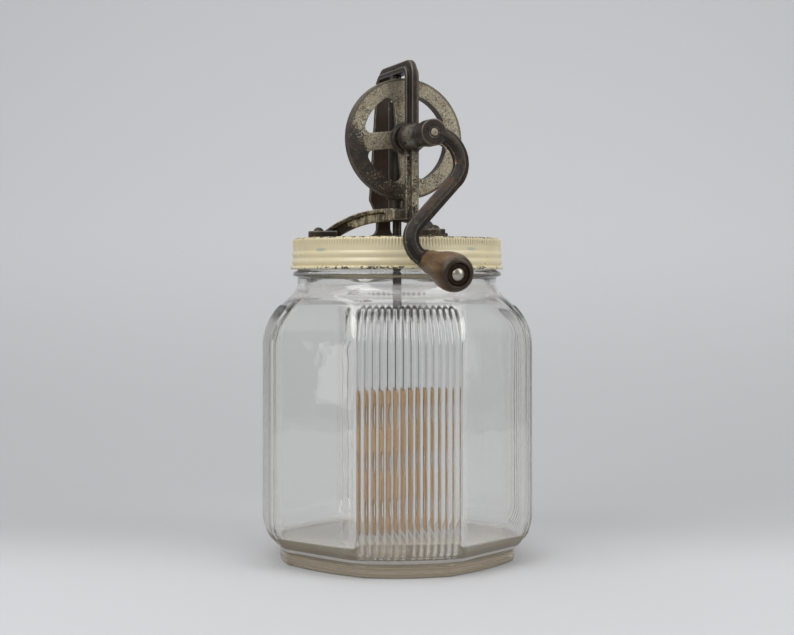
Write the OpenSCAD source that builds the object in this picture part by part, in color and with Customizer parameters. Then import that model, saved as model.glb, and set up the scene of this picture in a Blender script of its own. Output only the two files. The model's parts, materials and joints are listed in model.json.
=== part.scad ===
// Hand-cranked butter churn: a square glass jar with ribbed corners, a screw lid that
// carries an iron gear frame, a crown wheel and pinion, and a wooden paddle on a spindle.
// The origin is on the jar's axis at its base, the crank axle points to -Y.

/* [Jar] */
// Height of the jar from its base to its rim
jar_h = 181; // [170:1:220]
// Distance from the jar's axis to the crown of a ribbed corner
jar_reach = 76.5; // [74:0.5:84]
// Distance from the jar's axis to a plain flat side
jar_flat = 71.8; // [69.5:0.1:76]
// Radius in plan of the curve across a ribbed corner
corner_r = 110; // [95:1:140]
// Turn of the jar against the lid's frame, as the screw thread stops
jar_turn = -16; // [-45:1:45]
// Thickness of the jar's side wall
jar_wall = 4; // [3:0.1:6]
// Thickness of glass under the jar's floor
jar_floor = 11; // [9:0.5:16]
// Height of the foot slab below the heel
foot_h = 8.3; // [6:0.1:10]
// Step of the foot slab inside the jar's sides
foot_inset = 9; // [8:0.1:14]
// Radius of the heel curve at a ribbed corner
heel_r = 25; // [20:0.5:30]
// Height of the heel curve above the foot slab
heel_rise = 18.5; // [15:0.5:20]
// Height from the top of the shoulder curve to the rim
neck_h = 27.3; // [24:0.1:34]
// Length of the shoulder curve inside the neck
shoulder_tuck = 12.8; // [9:0.1:16]
// Thickness of the glass in the neck
neck_wall = 5; // [4:0.1:7]
// Radius of the curve where the shoulder runs into the neck
neck_fillet = 3; // [1.5:0.1:4]
// Height of the bead round the neck below the rim
bead_drop = 18.4; // [16:0.1:24]
// Projection of the bead from the neck
bead_out = 2.9; // [1:0.1:3.5]
// Half the height of the bead
bead_r = 1.7; // [1:0.1:2.4]
// Number of ribs on each ribbed corner
rib_count = 15; // [5:2:17]
// Distance between the ribs
rib_pitch = 3.72; // [3:0.01:3.8]
// Width of a rib
rib_w = 2.3; // [1.4:0.1:2.8]
// Height of a rib above the corner
rib_h = 0.9; // [0.5:0.1:1.4]
// Height of the ribs' lower ends above the foot slab
rib_start = 5.7; // [4:0.1:12]
// Length of the shoulder left plain above the ribs
rib_stop = 8.7; // [7:0.1:20]

/* [Lid] */
// Width of the lid's top outside the ends of the frame's legs
lid_margin = 8.5; // [6:0.5:12]
// Height of the lid
lid_h = 17.9; // [15:0.1:18]
// Thickness of the lid's sheet
lid_sheet = 0.8; // [0.6:0.1:1.2]
// Projection of the rolled beads on the lid's band
lid_bead_out = 0.7; // [0.3:0.1:1.2]
// Radius of the rolled beads
lid_bead_r = 2.3; // [1.8:0.1:3]
// Height of the lower bead above the lid's edge
lid_bead_low = 5; // [4.2:0.1:5.2]
// Height of the upper bead above the lid's edge
lid_bead_high = 8.9; // [8:0.1:11]
// Radius of the curled edge
curl_r = 0.9; // [0.7:0.1:1.3]
// Room for the thread between the neck and the lid
thread_room = 1.8; // [1.4:0.1:3]
// Thickness of the gasket
gasket_t = 1.3; // [1:0.1:2.5]
// Clearance between the gasket and the jar's rim
gasket_gap = 0.1; // [0.05:0.05:0.3]
// Radial room round the gasket
gasket_room = 0.6; // [0.4:0.1:1]

/* [Gear frame] */
// Height of the spindle bearing's top above the lid
hub_rise = 17.2; // [15:0.1:24]
// Length of the spindle bearing
hub_len = 7; // [5:0.1:10]
// Outside radius of the spindle bearing
hub_r = 7.5; // [6:0.1:9]
// Clear height between the bearing and the wheel
under_gap = 4.7; // [3:0.1:8]
// Clear height between the wheel and the bridge
over_gap = 2.9; // [1.5:0.1:6]
// Width of the frame's strap
strap_w = 8; // [7:0.1:12]
// Thickness of the strap
strap_t = 3; // [2:0.1:5]
// Width of the rib on the strap
strap_rib_w = 3.5; // [2:0.1:6]
// Height of the rib on the strap
strap_rib_h = 3.8; // [2:0.1:5]
// Inside radius of the strap's bends
bend_r = 3; // [1.5:0.1:6]
// Distance from the spindle's axis to the inner face of the rear upright
rear_y = 21.5; // [16:0.5:32]
// Half width of the rear upright where it is widest
rear_wide = 8.7; // [6:0.1:11]
// Height of that widest place above the lid
rear_wide_rise = 23; // [20:0.5:32]
// Half width of the rear upright's foot
rear_foot = 8.5; // [6:0.1:10]
// Half width of the rear upright's ankle above the foot
rear_ankle = 4.3; // [3:0.1:5]
// Radius of the axle's bearing boss
boss_r = 6.7; // [5:0.1:9]
// Length of the boss behind the front upright
boss_tail = 4.9; // [3:0.1:8]
// Distance of the boss's front end inside the lid's edge
boss_setback = 15; // [10:0.5:18]
// Radius of the flare where the boss leaves the upright
boss_flare = 8.6; // [7.2:0.1:11]
// Turn of the three legs round the spindle
leg_turn = 36; // [15:1:45]
// Distance from the spindle to the end of a leg
leg_reach = 51.5; // [46:0.5:54]
// Radius of the arch of a leg along its top
leg_arch_r = 58.7; // [54:0.1:66]
// Distance from the spindle to the crown of a leg's arch
leg_crown = 5; // [2:0.5:8]
// Depth of a leg
leg_d = 7.6; // [6:0.1:9]
// Width of a leg's top flange
leg_w = 7; // [5:0.1:10]
// Thickness of a leg's top flange
leg_flange = 2.2; // [1.5:0.1:3.5]
// Thickness of a leg's web
leg_web = 3.4; // [2:0.1:5]
// Half width of a leg's pad
pad_r = 6; // [5:0.1:8]
// Length of a leg's pad
pad_len = 17.5; // [14:0.1:20]
// Thickness of a leg's pad
pad_t = 4.3; // [2:0.1:4.5]

/* [Rivets] */
// Radius of a rivet's shank
rivet_r = 1.6; // [1:0.1:2.2]
// Radius of a rivet's head
rivet_head_r = 3; // [2.6:0.1:4.5]
// Height of a rivet's head
rivet_head_h = 2.2; // [1:0.1:2.6]
// Radius of the burr under the lid
burr_r = 3.8; // [3:0.1:5]
// Thickness of the burr
burr_t = 0.8; // [0.5:0.1:1.5]

/* [Gears] */
// Outside radius of the drive wheel
wheel_r = 34.5; // [32:0.5:38]
// Teeth on the drive wheel
wheel_teeth = 42; // [42:7:42]
// Teeth on the pinion
pinion_teeth = 7; // [7:1:7]
// Edge of the rim outside the teeth
rim_edge = 1; // [0.5:0.1:2]
// Length of the teeth across the rim
tooth_len = 6; // [5:0.1:6.5]
// Height of a tooth above the pitch line
tooth_tip = 1.2; // [0.9:0.05:1.2]
// Depth of a tooth space below the pitch line
tooth_root = 1.45; // [1.4:0.05:1.8]
// Width of a wheel tooth at its tip
wheel_tip_w = 1.1; // [0.8:0.05:1.2]
// Width of a wheel tooth at the pitch line
wheel_pitch_w = 1.9; // [1.5:0.05:2]
// Width of a pinion tooth at its tip
pinion_tip_w = 0.9; // [0.7:0.05:1]
// Width of a pinion tooth at the pitch line
pinion_pitch_w = 1.75; // [1.4:0.05:1.9]
// Depth of the rim from its front face to the tooth spaces
rim_d = 7.2; // [6:0.1:10]
// Width of the rim from its edge inwards
rim_w = 9.2; // [8.2:0.1:10.5]
// Thickness of the web and spokes
web_t = 3; // [2:0.1:5]
// Width of a spoke
spoke_w = 10; // [7:0.1:12]
// Number of spokes
spoke_count = 4; // [3:1:4]
// Radius of the corners between spokes and rim
spoke_fillet = 3.6; // [1.5:0.1:5]
// Turn of the spokes at rest
spoke_turn = -6; // [-40:1:40]
// Radius of the wheel's hub
wheel_hub_r = 8; // [6.5:0.1:9.5]
// Projection of the wheel's hub in front of the web
wheel_hub_out = 1.2; // [0.6:0.1:3]
// Distance from the spindle's axis to the back of the wheel's hub
wheel_hub_back = 6.5; // [6.2:0.1:8]
// Radius of the pinion's long sleeve
sleeve_r = 5; // [4.6:0.1:5.3]
// Length of the sleeve above the axle
sleeve_rise = 22; // [16:0.5:24]
// Room between the teeth and the sleeve above and below them
sleeve_room = 0.8; // [0.6:0.1:1.2]

/* [Shafts] */
// Diameter of the spindle
spindle_d = 5.2; // [4.6:0.1:5.4]
// Diameter of the crank axle
axle_d = 5; // [4:0.1:6.5]
// Diameter of the cross pins
pin_d = 2; // [1.6:0.1:2.4]
// Radial running clearance in the bearings
run_gap = 0.05; // [0.03:0.01:0.08]
// Radial clearance between pieces that are fixed together
fit_gap = 0.02; // [0.01:0.01:0.05]
// End clearance between pieces that turn against each other
end_gap = 0.3; // [0.2:0.05:0.5]
// Thickness of the axle washer
washer_t = 1; // [0.6:0.1:1.6]
// Radius of the eyelet's flange in the lid
eyelet_r = 6.2; // [5.5:0.1:7]
// Wall of the eyelet
eyelet_wall = 0.8; // [0.6:0.1:1.2]
// Room between the eyelet and the spindle
eyelet_room = 0.5; // [0.3:0.1:0.8]

/* [Crank] */
// Radius of the crank's hub
crank_hub_r = 7.4; // [6:0.1:9]
// Length of the crank's hub
crank_hub_len = 10; // [8:0.1:13]
// Lean of the crank's arm away from the jar
crank_lean = 10.8; // [10:0.1:14]
// Radius of the arm's upper bend
upper_bend = 15.9; // [12:0.1:18]
// Radius of the arm's lower bend
lower_bend = 11.2; // [8:0.1:13]
// Height of the lower bend's centre below the axle
lower_drop = 60; // [54:0.5:64]
// Offset of the lower bend's centre to the left
lower_left = 5.5; // [2:0.5:8]
// Angle at which the lower bend ends in the handle's eye
eye_angle = 104; // [92:1:120]
// Width of the arm
arm_w = 8.3; // [6:0.1:10]
// Thickness of the arm at its edges
arm_t = 3.6; // [2.5:0.1:5]
// Height of the ridge along the arm
arm_ridge = 2; // [1:0.1:3.5]
// Width of the ridge's crest
arm_crest = 2.4; // [1:0.1:4]
// Radius of the eye that holds the handle
eye_r = 5.4; // [4.6:0.1:7]
// Projection of the eye in front of and behind the arm
eye_out = 1.5; // [1.4:0.1:2]

/* [Handle] */
// Downward tilt of the handle's pin
handle_tilt = 10.5; // [0:0.5:14]
// Length of the wooden handle
knob_len = 37; // [28:0.5:46]
// Radius of the handle at the crank
knob_small_r = 6.6; // [5.4:0.1:8]
// Radius of the handle where it is thickest
knob_big_r = 10.25; // [9:0.05:14]
// Length of the handle's rounded front end
knob_nose = 8; // [6:0.5:10]
// Width of the lip round the recess
knob_lip = 0.5; // [0.3:0.1:1]
// Radius of the recess in the handle's front end
recess_r = 6.1; // [5:0.1:7]
// Depth of the recess
recess_d = 2.2; // [1.5:0.1:4]
// Diameter of the handle's pin
handle_pin_d = 4.6; // [3.6:0.1:5.4]
// Radius of the pin's riveted head
handle_head_r = 3.3; // [2.8:0.1:4]
// Height of the pin's riveted head
handle_head_h = 1.6; // [1:0.1:2.4]
// Thickness of the handle's washers
handle_washer_t = 1; // [0.6:0.1:1.4]
// Radial room round the washer in the recess
recess_room = 0.5; // [0.3:0.1:0.9]

/* [Paddle] */
// Width of the paddle board
paddle_w = 60; // [56:1:90]
// Height of the paddle board
paddle_h = 82.5; // [70:0.5:90]
// Thickness of the paddle board
paddle_t = 10; // [9:0.5:14]
// Clearance between the paddle and the jar's floor
paddle_gap = 2.5; // [1.5:0.5:8]
// Turn of the paddle at rest
paddle_turn = 23; // [-90:1:90]
// Radius of the rounded ends of the board
paddle_edge_r = 5; // [2:0.5:8]
// Radius of the holes through the board
paddle_hole_r = 7; // [4:0.5:8]
// Distance of the holes from the spindle
paddle_hole_x = 18.5; // [14:0.5:20]
// Distance between the holes up the board
paddle_hole_pitch = 27; // [22:0.5:28]
// Number of holes on each side
paddle_holes = 3; // [1:2:3]
// Length of board below the spindle's end
paddle_base = 7; // [4:0.5:12]

/* [Hidden] */
$fn = 64;
// Length by which a cut passes through a face
cut = 1;

glass = [0.80, 0.86, 0.86, 0.45];
cream = [0.85, 0.82, 0.73];
rubber = [0.35, 0.30, 0.26];
iron = [0.25, 0.23, 0.21];
steel = [0.62, 0.61, 0.58];
silver = [0.58, 0.55, 0.48];
knob_wood = [0.42, 0.27, 0.16];
board_wood = [0.72, 0.57, 0.38];

// Jar: centre lines of its curves
corner_off = corner_r - jar_reach;
heel_in = jar_reach - heel_r;
heel_base = foot_h + heel_rise - heel_r;
lid_r = leg_reach + lid_margin;
neck_r = lid_r - lid_sheet - thread_room;
mouth_r = neck_r - neck_wall;
shoulder_in = neck_r - shoulder_tuck;
shoulder_top = jar_h - neck_h;
// Angle by which a corner's wedge passes the flats beside it
wedge_lap = 1;
corner_span = 2 * (atan2(jar_flat, jar_flat + corner_off * sqrt(2)) + wedge_lap);
rib_turn = rib_pitch / corner_r * 180 / PI;
rib_angle = rib_w / corner_r * 180 / PI;

// Lid and what stands on it
lid_top = jar_h + gasket_gap + gasket_t + lid_sheet;
lid_edge = lid_top - lid_h;
curl_x = lid_r + curl_r * 2 / 3;
lid_edge_r = curl_x + curl_r;
hub_top = lid_top + hub_rise;
hub_low = hub_top - hub_len;
axle_z = hub_top + under_gap + wheel_r;
bridge_z = axle_z + wheel_r + over_gap;
rivet_x = leg_reach - pad_r;
eyelet_in = spindle_d / 2 + eyelet_room;
eyelet_out = eyelet_in + eyelet_wall;

// Gear pair on pitch cones that meet where the two axes cross
ratio = wheel_teeth / pinion_teeth;
tooth_r = wheel_r - rim_edge;
tooth_taper = (tooth_r - tooth_len) / tooth_r;
pitch_r = tooth_r / ratio;
rim_back = pitch_r + tooth_root;
rim_front = rim_back + rim_d;
rim_in = wheel_r - rim_w;
// Overlap of the spokes' rounded corners with spoke and rim
corner_lap = 0.1;
// Depth by which the teeth are sunk in the rim
tooth_seat = 0.3;
wheel_flank = (wheel_pitch_w - wheel_tip_w) / 2 / tooth_tip;
pinion_flank = (pinion_pitch_w - pinion_tip_w) / 2 / tooth_tip;

sleeve_top = axle_z + sleeve_rise;
pinion_pin_z = sleeve_top - 2 * pin_d;

// Places along the axle, as distances in front of the spindle
wheel_pin_y = wheel_hub_back + pin_d;
hub_front = rim_front + wheel_hub_out;
boss_back = hub_front + washer_t + 2 * fit_gap + end_gap;
front_y = boss_back + boss_tail;
boss_front = lid_edge_r - boss_setback;
crank_back = boss_front + end_gap;
crank_y = crank_back + crank_hub_len / 2 + arm_t / 3;

// Arm of the crank: two bends joined by their crossing tangent, hub at the origin
upper_c = [0, -upper_bend];
lower_c = [-lower_left, -lower_drop];
bend_gap = norm(lower_c - upper_c);
line_lean = atan2(lower_left, lower_drop - upper_bend) + asin((upper_bend + lower_bend) / bend_gap);
side = [cos(line_lean), -sin(line_lean)];
upper_end = upper_c + upper_bend * side;
lower_start = lower_c - lower_bend * side;
eye = lower_c + lower_bend * [cos(eye_angle), -sin(eye_angle)];
arm_front = arm_t / 2 + arm_ridge;
// Length by which the arm's straight runs into its bends
arm_lap = 0.8;
// Step by which the straight is slimmer than the bends
arm_step = 0.1;
eye_back = arm_t / 2 + eye_out;
eye_front = arm_front + eye_out;
knob_start = eye_front + handle_washer_t + end_gap;
cap_start = knob_start + knob_len - recess_d + end_gap;

// Paddle
paddle_z = jar_floor + paddle_gap;
paddle_top = paddle_z + paddle_h;
spindle_foot = paddle_z + paddle_base;
spindle_top = bridge_z + strap_t + strap_rib_h / 3;
paddle_pin_z = [for (i = [-1, 1]) paddle_z + paddle_h / 2 + i * paddle_hole_pitch / 2];

// Half section of the jar with its heel and shoulder curves, out to the given reach
module jar_section(reach, low, high, inset, off) {
    heel = reach - heel_in;
    shoulder = reach - shoulder_in;
    heel_z = heel_base + inset + heel;
    shoulder_z = shoulder_top - inset - shoulder;
    intersection() {
        union() {
            translate([off - cut, heel_z]) square([reach + cut, shoulder_z - heel_z]);
            translate([off - cut, heel_z - heel]) square([heel_in + cut, heel + cut]);
            translate([off + heel_in, heel_z]) circle(heel);
            translate([off - cut, shoulder_z - cut]) square([shoulder_in + cut, shoulder + cut]);
            translate([off + shoulder_in, shoulder_z]) circle(shoulder);
        }
        translate([0, low]) square([2 * corner_r, high - low]);
    }
}

// Ribbed corner: the section turned about the corner's own far axis
module corner_turn(inset, low, high, from, angle) {
    translate([-corner_off, 0, 0]) rotate([0, 0, from]) rotate_extrude(angle = angle, $fn = 128)
        jar_section(jar_reach - inset, low, high, inset, corner_off);
}

// Pair of plain sides that face each other
module flat_pair(inset, low) {
    rotate([90, 0, 0]) linear_extrude(height = 4 * jar_reach, center = true) for (m = [0, 1])
        mirror([m, 0]) jar_section(jar_flat - inset, low, jar_h, inset, 0);
}

// Body of the jar, or its hollow when inset by the wall
module jar_body(inset, low) {
    intersection() {
        for (a = [0 : 90 : 270]) rotate([0, 0, a])
            corner_turn(inset, low, jar_h, -corner_span / 2, corner_span);
        intersection_for (a = [45, 135]) rotate([0, 0, a]) flat_pair(inset, low);
    }
}

// Ribs of one corner, following its heel and shoulder
module corner_ribs() {
    low = foot_h + rib_start;
    high = shoulder_top - rib_stop;
    for (i = [-(rib_count - 1) / 2 : (rib_count - 1) / 2])
        corner_turn(-rib_h, low, high, i * rib_turn - rib_angle / 2, rib_angle);
}

module foot_plan() {
    intersection() {
        intersection_for (a = [0 : 90 : 270])
            rotate(a) translate([-corner_off, 0]) circle(corner_r - foot_inset, $fn = 128);
        rotate(45) square(2 * (jar_flat - foot_inset), center = true);
    }
}

module neck() {
    rotate_extrude($fn = 128) {
        translate([mouth_r - cut, shoulder_top - neck_fillet * 2])
            square([neck_wall + cut, neck_h + neck_fillet * 2]);
        translate([neck_r + bead_out - bead_r, jar_h - bead_drop]) circle(bead_r);
        translate([neck_r - cut, jar_h - bead_drop - bead_r])
            square([bead_out - bead_r + cut, 2 * bead_r]);
        difference() {
            translate([neck_r - cut, shoulder_top - neck_fillet * 2])
                square([neck_fillet + cut, neck_fillet * 2]);
            translate([neck_r + neck_fillet, shoulder_top]) circle(neck_fillet);
        }
    }
}

module jar() {
    color(glass) rotate([0, 0, jar_turn - 90]) difference() {
        union() {
            jar_body(0, foot_h);
            for (a = [0 : 90 : 270]) rotate([0, 0, a]) corner_ribs();
            linear_extrude(height = foot_h + cut) foot_plan();
            neck();
        }
        jar_body(jar_wall, jar_floor);
        translate([0, 0, shoulder_top - jar_wall * 2]) cylinder(r = mouth_r, h = jar_h, $fn = 128);
    }
}

// Rolled bead on the lid's band
module lid_bead(height) {
    intersection() {
        translate([lid_r + lid_bead_out - lid_bead_r, lid_edge + height]) circle(lid_bead_r);
        translate([lid_r - lid_sheet, lid_edge]) square([lid_sheet + lid_bead_out + cut, lid_h]);
    }
}

module lid() {
    color(cream) difference() {
        rotate_extrude($fn = 128) {
            translate([0, lid_top - lid_sheet]) square([lid_r, lid_sheet]);
            translate([lid_r - lid_sheet, lid_edge]) square([lid_sheet, lid_h]);
            lid_bead(lid_bead_low);
            lid_bead(lid_bead_high);
            translate([curl_x, lid_edge + curl_r]) circle(curl_r);
        }
        translate([0, 0, lid_edge]) cylinder(r = eyelet_out + fit_gap, h = lid_h + cut);
        for_legs() translate([rivet_x, 0, lid_edge]) cylinder(r = rivet_r + fit_gap, h = lid_h + cut);
    }
}

module lid_gasket() {
    color(rubber) translate([0, 0, jar_h + gasket_gap]) difference() {
        cylinder(r = lid_r - lid_sheet - gasket_room, h = gasket_t, $fn = 128);
        translate([0, 0, -cut]) cylinder(r = mouth_r, h = gasket_t + 2 * cut, $fn = 128);
    }
}

module lid_eyelet() {
    color(steel) translate([0, 0, lid_top - lid_sheet]) difference() {
        union() {
            translate([0, 0, -eyelet_wall]) cylinder(r = eyelet_out, h = lid_sheet + 2 * eyelet_wall);
            translate([0, 0, lid_sheet]) cylinder(r = eyelet_r, h = eyelet_wall);
            translate([0, 0, -eyelet_wall]) cylinder(r = eyelet_r - eyelet_wall, h = eyelet_wall);
        }
        translate([0, 0, -eyelet_wall - cut])
            cylinder(r = eyelet_in, h = lid_sheet + 2 * (eyelet_wall + cut));
    }
}

// One shape on each leg's line
module for_legs() {
    for (a = [0 : 120 : 240]) rotate([0, 0, leg_turn + a]) children();
}

// Arch in the plane of the axle, rounded at its top corners
module arch(grow, low) {
    r = bend_r + grow;
    back = -front_y - grow;
    front = rear_y + grow;
    top = bridge_z + grow;
    translate([back, low]) square([front - back, top - low - r]);
    translate([back + r, low]) square([front - back - 2 * r, top - low]);
    for (y = [back + r, front - r]) translate([y, top - r]) circle(r);
}

// Strap of the arch between two offsets, as wide as given
module arch_strap(inner, outer, wide) {
    rotate([90, 0, 90]) linear_extrude(height = wide, center = true) difference() {
        arch(outer, hub_low);
        arch(inner, hub_low - cut);
    }
}

module rear_outline() {
    polygon([[-strap_w / 2, bridge_z], [strap_w / 2, bridge_z],
             [rear_wide, lid_top + rear_wide_rise], [rear_ankle, hub_top - hub_len / 2],
             [rear_ankle, lid_top], [-rear_ankle, lid_top],
             [-rear_ankle, hub_top - hub_len / 2], [-rear_wide, lid_top + rear_wide_rise]]);
    flare = rear_foot - rear_ankle;
    difference() {
        translate([-rear_foot, lid_top]) square([2 * rear_foot, pad_t / 2 + flare]);
        for (m = [-1, 1]) translate([m * rear_foot, lid_top + pad_t / 2 + flare]) circle(flare);
    }
}

// Side view of a leg between two depths below its arch
module leg_arc(deep) {
    intersection() {
        difference() {
            translate([leg_crown, hub_top - leg_arch_r]) circle(leg_arch_r, $fn = 128);
            translate([leg_crown, hub_top - leg_arch_r]) circle(leg_arch_r - deep, $fn = 128);
        }
        translate([0, lid_top]) square([leg_reach - pad_r, hub_rise + cut]);
    }
}

module leg() {
    rotate([90, 0, 0]) {
        linear_extrude(height = leg_w, center = true) leg_arc(leg_flange);
        linear_extrude(height = leg_web, center = true) leg_arc(leg_d);
    }
    translate([0, 0, lid_top]) {
        translate([leg_reach - pad_r, 0, 0]) cylinder(r = pad_r, h = pad_t);
        translate([leg_reach - pad_len, -pad_r, 0]) cube([pad_len - pad_r, 2 * pad_r, pad_t]);
    }
}

// Along the axle, from one distance in front of the spindle to another
module along_axle(from, to, r) {
    translate([0, -from, axle_z]) rotate([90, 0, 0]) cylinder(r = r, h = to - from);
}

module gear_frame() {
    flange_front = front_y + strap_t;
    color(iron) difference() {
        union() {
            arch_strap(0, strap_t, strap_w);
            arch_strap(strap_t - cut / 2, strap_t + strap_rib_h, strap_rib_w);
            translate([0, rear_y + strap_t, 0]) rotate([90, 0, 0])
                linear_extrude(height = strap_t) rear_outline();
            translate([-strap_w / 2, -flange_front, hub_low])
                cube([strap_w, flange_front + rear_y + strap_t, hub_len - cut]);
            translate([0, 0, hub_low]) cylinder(r = hub_r, h = hub_len);
            for_legs() leg();
            along_axle(boss_back, boss_front, boss_r);
            translate([0, -flange_front + cut, axle_z]) rotate([90, 0, 0])
                cylinder(r1 = boss_flare, r2 = boss_r, h = strap_rib_h + 2 * cut);
        }
        along_axle(boss_back - cut, boss_front + cut, axle_d / 2 + run_gap);
        translate([0, 0, lid_top])
            cylinder(r = spindle_d / 2 + run_gap, h = spindle_top + end_gap - lid_top);
        for_legs() translate([rivet_x, 0, lid_top - cut]) {
            cylinder(r = rivet_r + fit_gap, h = pad_t + 2 * cut);
            translate([0, 0, pad_t + cut]) cylinder(r = rivet_head_r + fit_gap, h = hub_rise);
        }
    }
}

// Dome of the given radius and height
module dome(r, h) {
    ball = (r * r + h * h) / 2 / h;
    intersection() {
        translate([0, 0, h - ball]) sphere(ball);
        cylinder(r = r, h = h);
    }
}

module frame_rivets() {
    stem = pad_t + lid_sheet + burr_t + cut;
    color(iron) for_legs() translate([rivet_x, 0, lid_top + pad_t]) {
        dome(rivet_head_r, rivet_head_h);
        translate([0, 0, -stem]) cylinder(r = rivet_r, h = stem + cut / 2);
    }
}

module rivet_burrs() {
    color(steel) for_legs() translate([rivet_x, 0, lid_top - lid_sheet - burr_t]) difference() {
        cylinder(r = burr_r, h = burr_t);
        translate([0, 0, -cut]) cylinder(r = rivet_r + fit_gap, h = burr_t + 2 * cut);
    }
}

// Cross hole or pin through a vertical shaft, along the given direction
module cross_pin(z, turn, r, len) {
    translate([0, 0, z]) rotate([90, 0, turn]) cylinder(r = r, h = len, center = true);
}

module spindle() {
    color(steel) difference() {
        translate([0, 0, spindle_foot]) cylinder(d = spindle_d, h = spindle_top - spindle_foot);
        cross_pin(pinion_pin_z, 90, pin_d / 2 + fit_gap, 4 * spindle_d);
        for (z = paddle_pin_z) cross_pin(z, paddle_turn, pin_d / 2 + fit_gap, 4 * spindle_d);
    }
}

module pinion_outline() {
    tip = pitch_r + tooth_tip;
    root = pitch_r - tooth_root;
    root_w = pinion_pitch_w / 2 + tooth_root * pinion_flank / 2;
    circle(root, $fn = 48);
    for (i = [0 : pinion_teeth - 1]) rotate(270 + (i + 0.5) * 360 / pinion_teeth)
        polygon([[0, -root_w], [root, -root_w], [pitch_r, -pinion_pitch_w / 2], [tip, -pinion_tip_w / 2],
                 [tip, pinion_tip_w / 2], [pitch_r, pinion_pitch_w / 2], [root, root_w], [0, root_w]]);
}

module pinion() {
    tooth_z = axle_z - tooth_r;
    low = hub_top + end_gap;
    core_r = (pitch_r - tooth_root) * tooth_taper - fit_gap;
    sleeve_low = tooth_z + tooth_len + sleeve_room;
    color(iron) difference() {
        union() {
            translate([0, 0, low]) cylinder(r = core_r, h = sleeve_top - low);
            translate([0, 0, tooth_z])
                linear_extrude(height = tooth_len, scale = tooth_taper) pinion_outline();
            translate([0, 0, low]) cylinder(r = sleeve_r, h = tooth_z - sleeve_room - low);
            translate([0, 0, sleeve_low]) cylinder(r = sleeve_r, h = sleeve_top - sleeve_low);
        }
        translate([0, 0, hub_top - cut])
            cylinder(r = spindle_d / 2 + fit_gap, h = sleeve_top - hub_top + 2 * cut);
        cross_pin(pinion_pin_z, 90, pin_d / 2 + fit_gap, 4 * sleeve_r);
    }
}

module pinion_pin() {
    color(steel) cross_pin(pinion_pin_z, 90, pin_d / 2, 2 * sleeve_r);
}

// Corner between a spoke's side and the rim, rounded
module spoke_corner() {
    x = spoke_w / 2 + spoke_fillet - corner_lap;
    to_rim = rim_in - spoke_fillet + corner_lap;
    y = sqrt(to_rim * to_rim - x * x);
    out = rim_in / to_rim * [x, y];
    difference() {
        polygon([[0, y], [x, y], out, (rim_in + cut) / rim_in * out, [0, rim_in + cut]]);
        translate([x, y]) circle(spoke_fillet);
    }
}

module rim_plan() {
    difference() {
        circle(wheel_r, $fn = 128);
        circle(rim_in, $fn = 128);
    }
}

module wheel_web() {
    circle(wheel_hub_r - cut);
    for (i = [0 : spoke_count - 1]) rotate(i * 360 / spoke_count) {
        translate([-spoke_w / 2, 0]) square([spoke_w, rim_in + cut]);
        for (m = [0, 1]) mirror([m, 0]) spoke_corner();
    }
}

// Crown tooth at the bottom of the wheel, tapering towards the axle
module crown_tooth() {
    deep = (rim_back + tooth_seat) / tooth_taper;
    base_w = wheel_tip_w + 2 * wheel_flank * (deep - pitch_r + tooth_tip);
    translate([0, 0, -tooth_r]) linear_extrude(height = tooth_len, scale = tooth_taper)
        polygon([[-base_w / 2, -deep], [base_w / 2, -deep],
                 [wheel_tip_w / 2, tooth_tip - pitch_r], [-wheel_tip_w / 2, tooth_tip - pitch_r]]);
}

module drive_wheel() {
    color(silver) difference() {
        union() {
            translate([0, 0, axle_z]) {
                rotate([0, spoke_turn, 0]) rotate([90, 0, 0]) translate([0, 0, rim_front - web_t])
                    linear_extrude(height = web_t) wheel_web();
                rotate([90, 0, 0]) translate([0, 0, rim_back]) linear_extrude(height = rim_d) rim_plan();
                for (i = [0 : wheel_teeth - 1]) rotate([0, i * 360 / wheel_teeth, 0]) crown_tooth();
            }
            along_axle(wheel_hub_back, hub_front, wheel_hub_r);
        }
        along_axle(wheel_hub_back - cut, hub_front + cut, axle_d / 2 + fit_gap);
        translate([0, -wheel_pin_y, 0]) cross_pin(axle_z, 90, pin_d / 2 + fit_gap, 4 * wheel_hub_r);
    }
}

module crank_axle() {
    color(steel) difference() {
        along_axle(wheel_hub_back, crank_back + crank_hub_len + fit_gap, axle_d / 2);
        translate([0, -wheel_pin_y, 0]) cross_pin(axle_z, 90, pin_d / 2 + fit_gap, 4 * axle_d);
    }
}

module wheel_pin() {
    color(steel) translate([0, -wheel_pin_y, 0]) cross_pin(axle_z, 90, pin_d / 2, 2 * wheel_hub_r);
}

module axle_washer() {
    color(steel) difference() {
        along_axle(hub_front + fit_gap, hub_front + fit_gap + washer_t, boss_r);
        along_axle(hub_front - cut, hub_front + washer_t + cut, axle_d / 2 + fit_gap);
    }
}

// Frame of the crank's arm: X to the right, Y up the arm, Z away from the jar
module on_arm() {
    translate([0, -crank_y, axle_z]) rotate([-crank_lean, 0, 0]) rotate([90, 0, 0]) children();
}

// Same, with Z along the handle's pin
module on_eye() {
    on_arm() translate(eye) rotate([crank_lean + handle_tilt, 0, 0]) children();
}

// Section of the arm with its ridge, slimmer by the given step
module arm_section(step) {
    x = arm_w / 2 - step;
    y = arm_t / 2 - step;
    crest = arm_crest / 2;
    polygon([[-x, -y], [x, -y], [x, y], [crest, arm_front - step], [-crest, arm_front - step], [-x, y]]);
}

module arm_bend(centre, r, from, sweep) {
    translate(centre) rotate(from) rotate_extrude(angle = sweep, $fn = 96) translate([r, 0]) arm_section(0);
}

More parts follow.
